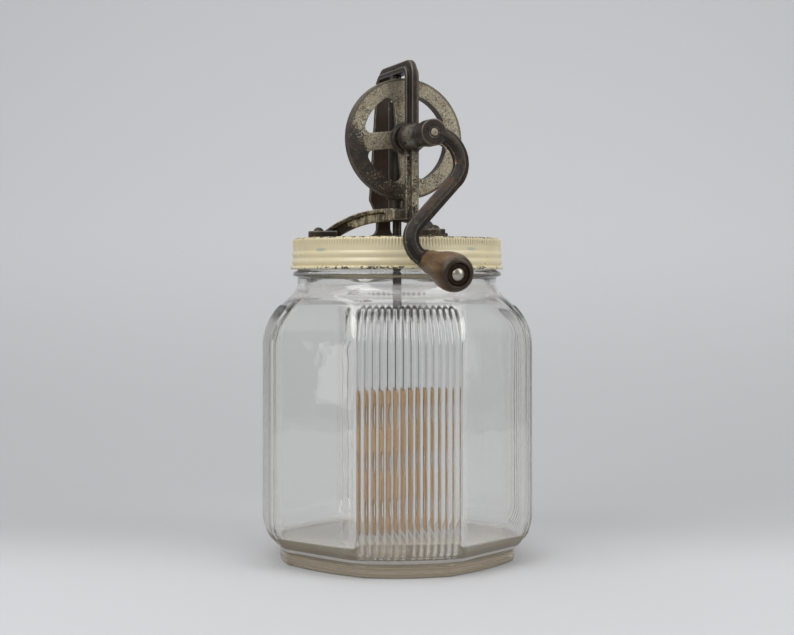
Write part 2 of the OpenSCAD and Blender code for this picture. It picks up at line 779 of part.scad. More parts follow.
module crank_arm() {
    run = upper_end - lower_start;
    color(iron) difference() {
        union() {
            along_axle(crank_back, crank_back + crank_hub_len, crank_hub_r);
            on_arm() {
                arm_bend(upper_c, upper_bend, -line_lean, 90 + line_lean);
                arm_bend(lower_c, lower_bend, 180 - line_lean, 180 - eye_angle + line_lean);
                translate(lower_start) rotate([90, 0, 90 + atan2(run.y, run.x)]) translate([0, 0, -arm_lap])
                    linear_extrude(height = norm(run) + 2 * arm_lap) arm_section(arm_step);
            }
            on_eye() translate([0, 0, -eye_back]) cylinder(r = eye_r, h = eye_back + eye_front);
        }
        along_axle(crank_back - cut, crank_back + crank_hub_len + cut, axle_d / 2 + fit_gap);
        on_eye() translate([0, 0, -eye_back - cut])
            cylinder(d = handle_pin_d + 2 * fit_gap, h = eye_back + eye_front + 2 * cut);
    }
}

module handle_pin() {
    head = cap_start + handle_washer_t + fit_gap;
    color(steel) on_eye() {
        translate([0, 0, -eye_back]) cylinder(d = handle_pin_d, h = head + eye_back);
        translate([0, 0, head - fit_gap / 2]) dome(handle_head_r, handle_head_h);
    }
}

// Ring round the handle's pin
module pin_ring(from, r) {
    on_eye() translate([0, 0, from]) difference() {
        cylinder(r = r, h = handle_washer_t);
        translate([0, 0, -cut]) cylinder(d = handle_pin_d + 2 * fit_gap, h = handle_washer_t + 2 * cut);
    }
}

module handle_washer() {
    color(steel) pin_ring(eye_front, eye_r);
}

module handle_cap() {
    color(iron) pin_ring(cap_start, recess_r - recess_room);
}

// Turned outline of the handle: a smooth swell and a rounded nose
module knob_outline() {
    swell = knob_len - knob_nose;
    growth = knob_big_r - knob_small_r;
    body = [for (t = [0 : 0.1 : 1]) [knob_small_r + growth * (1 - cos(180 * t)) / 2, swell * t]];
    nose_r = knob_big_r - recess_r - knob_lip;
    nose = [for (a = [15 : 15 : 90]) [knob_big_r - nose_r * (1 - cos(a)), swell + knob_nose * sin(a)]];
    polygon(concat([[0, 0]], body, nose, [[0, knob_len]]));
}

module handle_knob() {
    color(knob_wood) on_eye() translate([0, 0, knob_start]) difference() {
        rotate_extrude() knob_outline();
        translate([0, 0, -cut]) cylinder(d = handle_pin_d + 2 * run_gap, h = knob_len + 2 * cut);
        translate([0, 0, knob_len - recess_d]) cylinder(r = recess_r, h = recess_d + cut);
    }
}

module paddle_outline() {
    half = paddle_w / 2 - paddle_edge_r;
    difference() {
        union() {
            translate([-half, 0]) square([2 * half, paddle_h]);
            translate([-paddle_w / 2, paddle_edge_r]) square([paddle_w, paddle_h - 2 * paddle_edge_r]);
            for (x = [-half, half], z = [paddle_edge_r, paddle_h - paddle_edge_r])
                translate([x, z]) circle(paddle_edge_r);
        }
        for (m = [-1, 1], i = [0 : paddle_holes - 1])
            translate([m * paddle_hole_x, paddle_h / 2 + (i - (paddle_holes - 1) / 2) * paddle_hole_pitch])
                circle(paddle_hole_r);
    }
}

module paddle() {
    color(board_wood) difference() {
        rotate([0, 0, paddle_turn]) translate([0, 0, paddle_z]) rotate([90, 0, 0])
            linear_extrude(height = paddle_t, center = true) paddle_outline();
        translate([0, 0, spindle_foot]) cylinder(r = spindle_d / 2 + fit_gap, h = paddle_h);
        for (z = paddle_pin_z) cross_pin(z, paddle_turn, pin_d / 2 + fit_gap, 2 * paddle_t);
    }
}

module paddle_pins() {
    color(steel) for (z = paddle_pin_z) cross_pin(z, paddle_turn, pin_d / 2, paddle_t);
}

jar();
lid();
lid_gasket();
gear_frame();
frame_rivets();
rivet_burrs();
lid_eyelet();
spindle();
pinion();
pinion_pin();
drive_wheel();
crank_axle();
wheel_pin();
axle_washer();
crank_arm();
handle_pin();
handle_washer();
handle_knob();
handle_cap();
paddle();
paddle_pins();
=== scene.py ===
"""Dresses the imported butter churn: glass, enamel, castings, wood and a studio stage."""
import json
import math

import bpy
import numpy as np
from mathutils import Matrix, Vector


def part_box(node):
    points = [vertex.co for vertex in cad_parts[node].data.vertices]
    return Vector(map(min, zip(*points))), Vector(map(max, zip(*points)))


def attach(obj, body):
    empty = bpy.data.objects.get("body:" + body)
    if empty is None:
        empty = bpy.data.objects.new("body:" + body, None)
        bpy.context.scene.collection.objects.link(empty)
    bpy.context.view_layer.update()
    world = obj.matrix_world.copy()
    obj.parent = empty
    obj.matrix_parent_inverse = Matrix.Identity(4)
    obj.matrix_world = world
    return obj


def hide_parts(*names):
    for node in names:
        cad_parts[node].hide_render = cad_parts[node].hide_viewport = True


bl_info = {
    "name": "Butter Churn Dresser",
    "version": (1, 0, 0),
    "blender": (4, 5, 0),
    "location": "View3D > Sidebar > Churn",
    "description": "Builds the looks of a hand-cranked glass jar butter churn over its packed solids",
    "category": "Object",
}

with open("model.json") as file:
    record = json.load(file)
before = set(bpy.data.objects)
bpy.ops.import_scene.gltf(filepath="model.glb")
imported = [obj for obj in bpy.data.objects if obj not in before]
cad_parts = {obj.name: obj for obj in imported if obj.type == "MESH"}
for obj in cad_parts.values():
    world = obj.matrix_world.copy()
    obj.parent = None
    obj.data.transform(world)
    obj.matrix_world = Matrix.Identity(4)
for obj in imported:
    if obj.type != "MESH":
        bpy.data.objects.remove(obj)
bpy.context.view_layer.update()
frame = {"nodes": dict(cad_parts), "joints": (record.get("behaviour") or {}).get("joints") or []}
MM = 0.001


def node_box(node):
    """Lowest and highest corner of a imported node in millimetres, as arrays."""
    return [np.array(corner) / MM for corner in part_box(node)]


VIEW_TURN = math.radians(-21.0)
# Heights in millimetres, and the wheel's radius in metres, as its paint measures
JAR_RIM = node_box("jar")[1][2]
LID_BASE = node_box("lid")[0][2]
AXLE_Z = float(np.mean([corner[2] for corner in node_box("crank_axle")]))
WHEEL_R = float(node_box("drive_wheel")[1][2] - AXLE_Z) * MM


# Properties a user would change

def length(name, description, default, low, high):
    """Property for a length in millimetres."""
    return bpy.props.FloatProperty(name=name, description=description, default=default, min=low, max=high,
                                   subtype="DISTANCE_CAMERA")


def tint(name, description, default):
    """Property for a scene linear colour."""
    return bpy.props.FloatVectorProperty(name=name, description=description, default=default, min=0.0, max=1.0,
                                         subtype="COLOR", size=3)


class ChurnSizes(bpy.types.PropertyGroup):
    """Sizes that the dresser reads, in millimetres where they are lengths."""
    rib_height: length("Rib height", "Height of the half-round ribs on the glass corners, in mm", 0.95, 0.3, 1.4)
    glass_wall: length("Glass wall", "Thickness of the jar's side wall, in mm", 4.0, 3.0, 6.0)
    thread_height: length("Thread height", "Height of the screw thread on the glass neck, in mm", 1.1, 0.4, 1.4)
    knurl_count: bpy.props.IntProperty(
        name="Knurls", description="Number of pressed notches round the lid's top band", default=210, min=90, max=260)
    knurl_depth: length("Knurl depth", "Depth of the pressed notches, in mm", 0.38, 0.1, 0.7)
    casting_grain: length("Casting grain", "Size of the facets that the castings are remade from, in mm",
                          0.45, 0.35, 1.0)


class ChurnColours(bpy.types.PropertyGroup):
    """Colours of the finishes, scene linear."""
    enamel: tint("Lid enamel", "Cream enamel of the screw lid", (0.67, 0.59, 0.385))
    iron: tint("Iron", "Dark worn iron of frame and crank", (0.0175, 0.0135, 0.0105))
    silver: tint("Silver paint", "Worn silver paint on the drive wheel", (0.455, 0.405, 0.295))
    grip_wood: tint("Grip wood", "Turned hardwood of the crank's grip", (0.078, 0.044, 0.019))
    paddle_wood: tint("Paddle wood", "Pale softwood of the paddle", (0.32, 0.194, 0.083))
    floor: tint("Floor", "Pale studio floor and backdrop", (0.52, 0.523, 0.535))


def sizes():
    return bpy.context.scene.churn_sizes


def colour(name):
    return tuple(getattr(bpy.context.scene.churn_colours, name))


# Meshes from grids

def add_object(name, data):
    """New object in the scene for a mesh, lamp or camera."""
    item = bpy.data.objects.new(name, data)
    bpy.context.scene.collection.objects.link(item)
    return item


def linked_object(name, points, faces):
    """Puts points in millimetres and faces into a smooth object at the origin."""
    mesh = bpy.data.meshes.new(name)
    mesh.from_pydata((points * MM).tolist(), [], faces)
    mesh.shade_smooth()
    return add_object(name, mesh)


def mesh_object(name, points, faces):
    """Closed object from points and blocks of faces, which are turned outwards.

    The sign of the enclosed volume, summed as triple products over triangle fans, says whether to flip.
    """
    volume = 0.0
    for block in faces:
        a = points[block[:, 0]]
        for k in range(1, block.shape[1] - 1):
            volume += np.einsum("ij,ij->i", a, np.cross(points[block[:, k]], points[block[:, k + 1]])).sum()
    if volume < 0:
        faces = [block[:, ::-1] for block in faces]
    return linked_object(name, points, [face for block in faces for face in block.tolist()])


def ring_quads(first, second):
    """Quads between two sets of rings of point numbers, each point joined to the next one round its ring."""
    return np.stack([first, np.roll(first, -1, 1), np.roll(second, -1, 1), second], axis=-1).reshape(-1, 4)


def round_grid(name, rows):
    """Closed skin from a grid of rows that wrap round, with the first and last row drawn to one pole each.

    Row i, column j joins row i + 1, column j + 1 by a quad, and each pole closes its ring by triangles.
    """
    points = np.concatenate([rows[:1, 0], rows[1:-1].reshape(-1, 3), rows[-1:, 0]])
    pole = len(points) - 1
    rings = np.arange(1, pole).reshape(-1, rows.shape[1])
    low = np.stack([np.zeros_like(rings[0]), np.roll(rings[0], -1), rings[0]], axis=-1)
    high = np.stack([np.full_like(rings[-1], pole), rings[-1], np.roll(rings[-1], -1)], axis=-1)
    return mesh_object(name, points, [ring_quads(rings[:-1], rings[1:]), low, high])


def ring_grid(name, rows):
    """Closed skin from a grid that wraps round both ways, such as a ring or a bored handle."""
    rings = np.arange(rows.shape[0] * rows.shape[1]).reshape(rows.shape[:2])
    return mesh_object(name, rows.reshape(-1, 3), [ring_quads(rings, np.roll(rings, -1, 0))])


def turned(profile, columns):
    """Rows of a turned shape: each (radius, height) of the profile is carried round a full circle."""
    angle = np.linspace(0, 2 * np.pi, columns, endpoint=False)
    radius, height = profile[:, 0, None], profile[:, 1, None]
    return np.stack([radius * np.cos(angle), radius * np.sin(angle), height + 0 * angle], axis=-1)


def lifted(plan, height):
    """Rows of points from rows of a plan, each row at its own height."""
    return np.concatenate([plan, np.broadcast_to(height[:, None, None], (*plan.shape[:2], 1))], axis=-1)


def smooth_max(a, b, soft):
    """Larger of a and b, rounded over the given softness by a quadratic where the two are close."""
    near = np.clip(1 - np.abs(a - b) / soft, 0, None)
    return np.maximum(a, b) + soft * near * near / 4


def smooth_step(x, low, high):
    """Goes from 0 at low to 1 at high as 3t^2 - 2t^3, whichever of the two is larger."""
    t = np.clip((x - low) / (high - low), 0, 1)
    return t * t * (3 - 2 * t)


def onto_axis(rows, origin, axis):
    """Turns a shape built up the Z axis so that Z lies along the given axis, and moves it to the origin given."""
    along = np.array(axis, dtype=float) / np.linalg.norm(axis)
    across = np.cross([1.0, 0, 0], along)
    across /= np.linalg.norm(across)
    return np.array(origin) + rows @ np.stack([np.cross(across, along), across, along])


# Shader expressions

class Value:
    """A shader socket that takes part in Python expressions: each operator adds one Math node."""

    def __init__(self, finish, socket):
        self.finish, self.socket = finish, socket

    def maths(self, operation, *others):
        return self.finish.value(0, "ShaderNodeMath", [self, *others], operation=operation)

    def __add__(self, other):
        return self.maths("ADD", other)

    __radd__ = __add__

    def __sub__(self, other):
        return self.maths("SUBTRACT", other)

    def __rsub__(self, other):
        return self.finish.value(0, "ShaderNodeMath", [other, self], operation="SUBTRACT")

    def __mul__(self, other):
        return self.maths("MULTIPLY", other)

    def __truediv__(self, other):
        return self.maths("DIVIDE", other)

    def __pow__(self, other):
        return self.maths("POWER", other)

    def absolute(self):
        return self.maths("ABSOLUTE")

    def larger(self, other):
        return self.maths("MAXIMUM", other)

    def smaller(self, other):
        return self.maths("MINIMUM", other)

    def ramp(self, low, high, start=0.0, end=1.0):
        """Goes smoothly from start at low to end at high, whichever of low and high is larger."""
        inputs = {"Value": self, "From Min": low, "From Max": high, "To Min": start, "To Max": end}
        return self.finish.value(0, "ShaderNodeMapRange", inputs, interpolation_type="SMOOTHSTEP")

    def within(self, start, end):
        """1 inside a band that fades in over the pair of values start and out over the pair end."""
        return self.ramp(*start) * self.ramp(*end[::-1])


def rgba(tone):
    """A colour with full cover, or a socket as it is."""
    return tone if isinstance(tone, bpy.types.NodeSocket) else (*tone, 1.0)


class Finish:
    """One node material: makes nodes from a type, settings and inputs, and holds the common patterns."""

    def __init__(self, name):
        self.material = bpy.data.materials.new(name)
        self.material.use_nodes = True
        self.tree = self.material.node_tree
        self.tree.nodes.clear()
        self.place = self.node("ShaderNodeTexCoord").outputs["Object"]

    def node(self, kind, inputs=(), **settings):
        """New node of a type, with its settings, and with its inputs by name or in order."""
        node = self.tree.nodes.new(kind)
        for key, value in settings.items():
            setattr(node, key, value)
        for key, value in inputs.items() if isinstance(inputs, dict) else enumerate(inputs):
            socket = value.socket if isinstance(value, Value) else value
            if isinstance(socket, bpy.types.NodeSocket):
                self.tree.links.new(socket, node.inputs[key])
            else:
                node.inputs[key].default_value = socket
        return node

    def value(self, output, kind, inputs=(), **settings):
        """Output of a new node, ready for expressions."""
        return Value(self, self.node(kind, inputs, **settings).outputs[output])

    def axis(self, name):
        return self.value(name, "ShaderNodeSeparateXYZ", [self.place])

    def mapped(self, **inputs):
        """Place on the piece, moved, turned and then drawn out by as many times as the scale says."""
        return self.node("ShaderNodeMapping", {"Vector": self.place, **inputs}, vector_type="TEXTURE").outputs[0]

    def noise(self, scale, detail=3.0, rough=0.55, place=None, warp=0.0):
        return self.value("Fac", "ShaderNodeTexNoise", {
            "Vector": place or self.place, "Scale": scale, "Detail": detail, "Roughness": rough, "Distortion": warp})

    def pits(self, scale):
        """Distance from the nearest point of a random scatter, small inside a pit."""
        return self.value("Distance", "ShaderNodeTexVoronoi", {"Vector": self.place, "Scale": scale})

    def spot(self, centre, lengths):
        """Distance from a place on the piece, 1 on an ellipsoid with the given half lengths, all in millimetres."""
        near = self.mapped(Location=tuple(v * MM for v in centre), Scale=tuple(v * MM for v in lengths))
        return self.value("Value", "ShaderNodeVectorMath", [near], operation="LENGTH")

    def edges(self):
        """How far the surface bulges at a point: 0.5 on a flat, more on an edge, less in a corner."""
        return self.value("Pointiness", "ShaderNodeNewGeometry")

    def facing(self, direction):
        """Cosine between the surface's own normal and a fixed direction of the piece."""
        normal = self.node("ShaderNodeTexCoord").outputs["Normal"]
        return self.value("Value", "ShaderNodeVectorMath", [normal, direction], operation="DOT_PRODUCT")

    def mix(self, share, first, second):
        """Colour that goes from first to second as the share goes from 0 to 1."""
        inputs = {0: share, 6: rgba(first), 7: rgba(second)}
        return self.node("ShaderNodeMix", inputs, data_type="RGBA").outputs[2]

    def bump(self, height, depth, strength):
        """Normal over a bumpy height that spans the given depth in millimetres."""
        inputs = {"Strength": strength, "Distance": depth * MM, "Height": height}
        return self.node("ShaderNodeBump", inputs).outputs[0]

    def done(self, **inputs):
        """Ends the material in one Principled shader with the given inputs, named with underscores."""
        inputs = {key.replace("_", " "): value for key, value in inputs.items()}
        shader = self.node("ShaderNodeBsdfPrincipled", inputs)
        self.node("ShaderNodeOutputMaterial", {"Surface": shader.outputs[0]})
        return self.material


def shade(rgb, factor):
    return tuple(min(1.0, channel * factor) for channel in rgb)


# Finishes, with the colours of their stains and wear and of their painted light and shade, scene linear

CLEAR_TINT, LAMP_TINT, DEPTH_TINT = (0.985, 0.99, 0.985), (0.92, 0.92, 0.91), (0.66, 0.59, 0.44)
# Pale haze that also carries painted light, and pale and brown painted refraction in the foot
PALE_HAZE_AND_LIGHT, PAINTED_PALE_REFRACTION, PAINTED_BROWN_REFRACTION = (0.78, 0.775, 0.755), (0.59, 0.495, 0.365), (0.29, 0.23, 0.155)
# Painted refraction on the heel, a floor film with painted light, and painted shade at the rib ends
PAINTED_OLIVE_REFRACTION, FLOOR_FILM_AND_LIGHT, RIB_PAINTED_SHADE = (0.19, 0.155, 0.1), (0.56, 0.52, 0.46), (0.022, 0.02, 0.014)
YELLOWED_AND_SHADED, NOTCH_DIRT_AND_SHADE = (0.55, 0.43, 0.21), (0.22, 0.19, 0.13)
GREEN_WEAR, LID_STEEL = (0.29, 0.36, 0.33), (0.05, 0.042, 0.034)
# Bare edges that also serve as painted highlights, and grime colours that also serve as painted shade in hollows
RUST, REAR_BROWN, BARE_EDGE_AND_HIGHLIGHT = (0.078, 0.042, 0.022), (0.052, 0.029, 0.02), (0.3, 0.265, 0.22)
IRON_GRIME_AND_SHADE, BOSS_GREY, PAINT_STAIN = (0.008, 0.006, 0.005), (0.19, 0.17, 0.14), (0.25, 0.175, 0.085)
BARE_DARK, BARE_BROWN, WHEEL_GRIME_AND_SHADE = (0.028, 0.023, 0.019), (0.062, 0.041, 0.027), (0.016, 0.012, 0.009)
STEEL_RUST, OLD_GREASE = (0.075, 0.045, 0.026), (0.035, 0.027, 0.021)
AXLE_BRIGHT, AXLE_DULL = (0.36, 0.32, 0.25), (0.2, 0.165, 0.12)
RUBBER, RUBBER_DUST = (0.055, 0.045, 0.036), (0.115, 0.095, 0.075)
DULL_STEEL, BRIGHT_STEEL = (0.3, 0.285, 0.26), (0.47, 0.44, 0.38)
BROWN_STEEL, RECESS_BROWN = (0.034, 0.03, 0.026), (0.026, 0.016, 0.01)

# Heights in mm in the glass over which the slab, the groove, the floor's film and light and the heel's painted band
# end
SLAB_EDGE, GROOVE_EDGE, FILM_AND_LIGHT_EDGE, HEEL_EDGE = (7.3, 7.9), (9.8, 10.6), (11.4, 12.6), (15.6, 17.4)
LAYER_PITCH, HAZE = 2.7, 0.02


def across_corner(f):
    """Distance of a point from the middle line of the nearest corner, in millimetres.

    The place is turned into the jar's own plan, where the smaller of the two distances runs across a corner.
    """
    x, y = f.axis("X") / MM, f.axis("Y") / MM
    turned_x = x * math.cos(JAR_TURN) + y * math.sin(JAR_TURN)
    turned_y = y * math.cos(JAR_TURN) - x * math.sin(JAR_TURN)
    return turned_x.absolute().smaller(turned_y.absolute())


def clear_glass():
    """Old pressed glass: clear, faintly wavy, with a faint haze, and the lamps shine through it.

    Colour is mixed in by a share, and most of it is painted light and shade: brown and pale banding on the foot's
    side and an olive band on the heel are painted refraction, a pale groove over them is a painted bright line, a
    film on the floor carries painted light, pale haze on the neck and beside the ribs is painted light, and dark rib
    ends that the jar's attribute marks are painted shade.
    """
    f = Finish("pressed_glass")
    waves = f.noise(26, 2, 0.4) + f.noise(90, 1, 0.4) * 0.12
    clear = f.node("ShaderNodeBsdfPrincipled", {
        "Base Color": rgba(CLEAR_TINT), "Roughness": 0.0, "IOR": 1.5, "Transmission Weight": 1.0,
        "Normal": f.bump(waves, 1.6, 0.2)})
    passing = f.node("ShaderNodeBsdfTransparent", {"Color": rgba(LAMP_TINT)})
    from_lamp = f.node("ShaderNodeLightPath").outputs["Is Shadow Ray"]
    pane = f.node("ShaderNodeMixShader", [from_lamp, clear.outputs[0], passing.outputs[0]])

    height, across, upward = f.axis("Z") / MM, across_corner(f), f.facing((0, 0, 1))
    sideways = upward.ramp(0.3, 0)
    streaks = f.noise(70, 1, 0.4, place=f.mapped(Scale=(8, 8, 1)))
    # Painted refraction: waving bands stand in for what the thick foot shows through it
    refraction_layers = ((height + streaks * 2.2) * (2 * math.pi / LAYER_PITCH)).maths("SINE")
    ribbed = across.ramp(29.5, 25)
    beside_rib = (across * (2 * math.pi / RIB_PITCH)).maths("SINE").ramp(-0.3, 0.7)
    in_slab = height.ramp(*SLAB_EDGE[::-1])
    # Painted light: a pale band in the groove stands in for a bright refracted line
    at_groove = height.within(SLAB_EDGE, GROOVE_EDGE) * sideways
    climb = height - ribbed * 2.5 + (streaks - 0.5) * 5.0
    at_heel = height.ramp(*GROOVE_EDGE) * climb.ramp(*HEEL_EDGE[::-1]) * sideways
    # A pale film on the floor, with painted light where the glass keeps light off it
    on_floor = height.ramp(*FILM_AND_LIGHT_EDGE[::-1]) * upward.ramp(0.5, 0.9)
    # Painted shade at the ends of the ribs, marked by the jar's attribute
    rib_end_shade = f.value("Fac", "ShaderNodeAttribute", attribute_name="rib_shade")
    rib_end_shade = rib_end_shade * f.noise(150, 2, 0.5).ramp(0.32, 0.52, 0.55, 1)
    # Painted light: pale haze on the neck and beside the ribs lightens glass that renders dark there
    at_neck = height.within((147, 150), (155.5, 158))
    at_bend = across.within((27.4, 28.4), (30, 31.6)) * height.ramp(14, 18)
    haze_and_light = at_neck.larger(at_bend * height.ramp(150, 144) * 0.5)

    # Painted refraction in the foot and on the heel, painted light above the foot, and painted shade at the rib ends
    murk_and_painted_light = f.mix(refraction_layers.ramp(-0.6, 0.7), PAINTED_PALE_REFRACTION, PAINTED_BROWN_REFRACTION)
    murk_and_painted_light = f.mix(in_slab, PALE_HAZE_AND_LIGHT, murk_and_painted_light)
    murk_and_painted_light = f.mix(at_heel, murk_and_painted_light, PAINTED_OLIVE_REFRACTION)
    murk_and_painted_light = f.mix(on_floor, murk_and_painted_light, FLOOR_FILM_AND_LIGHT)
    murk_and_painted_light = f.mix(rib_end_shade.ramp(0, 0.2), murk_and_painted_light, RIB_PAINTED_SHADE)
    cloudy_and_painted_light = f.node("ShaderNodeBsdfPrincipled", {"Base Color": murk_and_painted_light, "Roughness": 0.3, "Coat Weight": 0.6})
    slab_share = in_slab * upward.absolute().ramp(0.7, 0.3) * refraction_layers.ramp(-0.7, 0.5, 0.25, 0.8)
    heel_share = at_heel * (streaks.ramp(0.35, 0.6, 0.6, 0.95) - ribbed * (0.52 - beside_rib * 0.4))
    share = slab_share + at_groove * 0.6 + heel_share + on_floor * 0.3 + rib_end_shade + haze_and_light * 0.28 + HAZE
    surface = f.node("ShaderNodeMixShader", [share, pane.outputs[0], cloudy_and_painted_light.outputs[0]])
    depth = f.node("ShaderNodeVolumeAbsorption", {"Color": rgba(DEPTH_TINT), "Density": 9.0})
    f.node("ShaderNodeOutputMaterial", {"Surface": surface.outputs[0], "Volume": depth.outputs[0]})
    return f.material


def cream_enamel():
    """Cream enamel: yellowed in the grooves and dirty between the knurls, both with painted shade, worn green in two
    places, chipped dark.
    """
    f = Finish("cream_enamel")
    x, y, z = (f.axis(name) for name in "XYZ")
    reach = (x * x + y * y) ** 0.5
    height = (z - LID_BASE * MM) / MM
    base = colour("enamel")
    clouds = f.noise(38, 4, 0.6)
    groove = reach.ramp(0.06, 0.0594)
    tone = f.mix(clouds.ramp(0.3, 0.72), base, shade(base, 0.86))
    # Yellowed enamel and painted shade in the groove
    tone = f.mix(groove * 0.35, tone, YELLOWED_AND_SHADED)
    # Painted light: the enamel below the knurled band is lighter
    tone = f.mix(height.ramp(11.5, 9.5) * 0.45, tone, shade(base, 1.16))
    # Dirt and painted shade in the knurl notches, with more painted shade on the right
    notch = (y.maths("ARCTAN2", x) * float(sizes().knurl_count)).maths("COSINE").ramp(-0.1, 0.9)
    notch = notch * height.ramp(12, 14.5) * x.ramp(-0.02, 0.035, 0.2, 0.75)
    tone = f.mix(notch, tone, NOTCH_DIRT_AND_SHADE)
    rough_edge = f.noise(300, 3, 0.6) * 0.9
    left = f.spot((-54.4, -25.4, 176), (6.4, 6.4, 1.5))
    right = f.spot((21.9, -55.8, 176.4), (5.2, 5.2, 1.4))
    tone = f.mix((left.smaller(right) + rough_edge).ramp(1.3, 0.9) * 0.6, tone, GREEN_WEAR)
    speck = f.noise(420, 3, 0.6)
    top = height.ramp(16.2, 17.8) * reach.ramp(0.052, 0.0575, 0.45, 1)
    worn_top = (speck + top * 0.3 + f.noise(120, 2, 0.6) * 0.25).ramp(0.86, 0.95)
    worn_top = worn_top * height.ramp(13.4, 15.4)
    scraped = f.spot((-40, -45, 166), (34, 26, 9)).ramp(1.2, 0.6)
    worn_low = (speck + f.noise(55, 2, 0.5) * 0.5 + scraped * 0.08).ramp(0.8, 0.9)
    worn_low = worn_low * height.ramp(2.6, 0.9)
    pricks = f.pits(160).ramp(0.1, 0.05) * f.noise(30).ramp(0.5, 0.6)
    chip = worn_top.larger(worn_low).larger(pricks * 0.8)
    tone = f.mix(chip, tone, LID_STEEL)
    grain = f.noise(900, 2, 0.5) * 0.12 - chip * 0.6 + clouds * 0.3
    return f.done(Base_Color=tone, Roughness=clouds.ramp(0.3, 0.75, 0.34, 0.48) + chip * 0.25,
                  Normal=f.bump(grain, 0.09, 0.5), Coat_Weight=0.15)


def worn_iron(name, silver_share, brown, bare_edges_and_highlights, keen=0.08):
    """Cast iron: nearly black and slightly brown, bright on worn edges that also carry painted highlights, with
    painted shade and grime in its hollows, and remains of silver paint where asked.
    """
    f = Finish(name)
    base = colour("iron")
    broad, fine = f.noise(70, 4, 0.6), f.noise(520, 3, 0.65)
    tone = f.mix(broad.ramp(0.35, 0.7), base, shade(base, 2.1))
    rust = (f.noise(110, 5, 0.7) + fine * 0.25).ramp(0.6, 0.82)
    tone = f.mix(rust * brown, tone, RUST)
    tone = f.mix(f.axis("Y").ramp(0.01, 0.018) * 0.35, tone, REAR_BROWN)
    edge = f.edges()
    # Worn bare edges, which also paint highlights along edges and ridges
    worn_and_highlit = (edge + (fine - 0.5) * 0.5 * keen).ramp(0.504, 0.504 + keen)
    tone = f.mix(worn_and_highlit * bare_edges_and_highlights, tone, BARE_EDGE_AND_HIGHLIGHT)
    # Grime and painted shade in hollows and corners
    tone = f.mix(edge.ramp(0.497, 0.497 - keen * 0.7) * 0.85, tone, IRON_GRIME_AND_SHADE)
    metal = worn_and_highlit * 0.6 + 0.15
    if silver_share > 0:
        boss = f.spot((-3, -33, 240), (7, 10, 9)).ramp(1.1, 0.6) * fine.ramp(0.35, 0.6)
        tone = f.mix(boss * 0.75, tone, BOSS_GREY)
        leg = f.spot((-24, -6, 200), (24, 28, 12)).ramp(1.25, 0.8)
        post = f.spot((0, -24, 214), (9, 12, 26)).ramp(1.1, 0.7)
        streaks = f.noise(420, 4, 0.7, place=f.mapped(Scale=(1, 1, 5)))
        flecks = (f.noise(700, 4, 0.7) + streaks + f.noise(70, 2, 0.5)) * 0.5
        flecks = flecks + leg.larger(post * 0.7) * 0.21
        flecks = flecks.ramp(0.84, 0.96) * f.axis("Z").ramp(0.236, 0.226) * f.axis("X").ramp(0.014, 0.008)
        flecks = flecks * f.facing((-0.36, -0.93, 0.1)).ramp(0.2, 0.7) * edge.ramp(0.46, 0.49)
        paint = f.mix(streaks.ramp(0.38, 0.62), shade(colour("silver"), 1.4), shade(colour("silver"), 0.3))
        tone = f.mix(flecks * silver_share, tone, paint)
        metal = metal + flecks * 0.2
    grain = broad * 0.5 + fine * 0.4 + f.pits(300).ramp(0.5, 0) * -0.35
    return f.done(Base_Color=tone, Metallic=metal, Roughness=broad.ramp(0.3, 0.7, 0.36, 0.52) - worn_and_highlit * 0.1,
                  Specular_IOR_Level=0.22, Normal=f.bump(grain, 0.3, 0.65))


def silver_paint():
    """Silver paint on the wheel: mottled and pitted brown, worn to dark iron at the rim's left and low side, with
    painted shade and grime in its hollows.
    """
    f = Finish("worn_silver_paint")
    x, z = f.axis("X"), f.axis("Z")
    base = colour("silver")
    fine, broad = f.noise(1000, 4, 0.7), f.noise(58, 4, 0.6)
    tone = f.mix(broad.ramp(0.3, 0.7), base, shade(base, 0.72))
    tone = f.mix(f.noise(1300, 2, 0.6).ramp(0.4, 0.66) * 0.75, tone, shade(base, 0.36))
    drop = z - AXLE_Z * MM
    reach = (x * x + drop * drop) ** 0.5
    stain = f.noise(150, 3, 0.6).ramp(0.5, 0.68) * x.ramp(-0.02, 0.03, 0.35, 0.9)
    tone = f.mix(stain, tone, PAINT_STAIN)
    side = (x * -0.76 + drop * -0.65).ramp(0.004, 0.026)
    ring = reach.ramp(0.0215, 0.0262)
    bare = (side * ring * 0.6 + (fine - 0.5) * 1.5 + (broad - 0.5) * 0.8).ramp(0.26, 0.5)
    pit = (fine + f.noise(140, 2, 0.5) * 0.35).ramp(0.68, 0.8)
    pit = pit.larger(reach.ramp(WHEEL_R - 0.002, WHEEL_R - 0.001))
    hub = reach.ramp(0.011, 0.0085) * (broad + fine * 0.3).ramp(0.35, 0.6)
    edge = f.edges()
    rub = (edge + (fine - 0.5) * 0.08).ramp(0.53, 0.6)
    back = f.facing((0, -1, 0)).ramp(0.75, 0.35) * 0.8
    dark = bare.larger(pit * 0.75).larger(hub).larger(rub * 0.7).larger(back)
    iron = f.mix(f.noise(210, 3, 0.6).ramp(0.4, 0.65), BARE_DARK, BARE_BROWN)
    tone = f.mix(dark, tone, iron)
    # Grime and painted shade in hollows and corners
    tone = f.mix(edge.ramp(0.48, 0.43) * 0.6, tone, WHEEL_GRIME_AND_SHADE)
    return f.done(Base_Color=tone, Metallic=0.45 - dark * 0.15,
                  Roughness=0.42 + dark * 0.12 + (fine - 0.5) * 0.15,
                  Normal=f.bump(fine * 0.5 + broad * 0.3 - dark * 0.8, 0.16, 0.6))


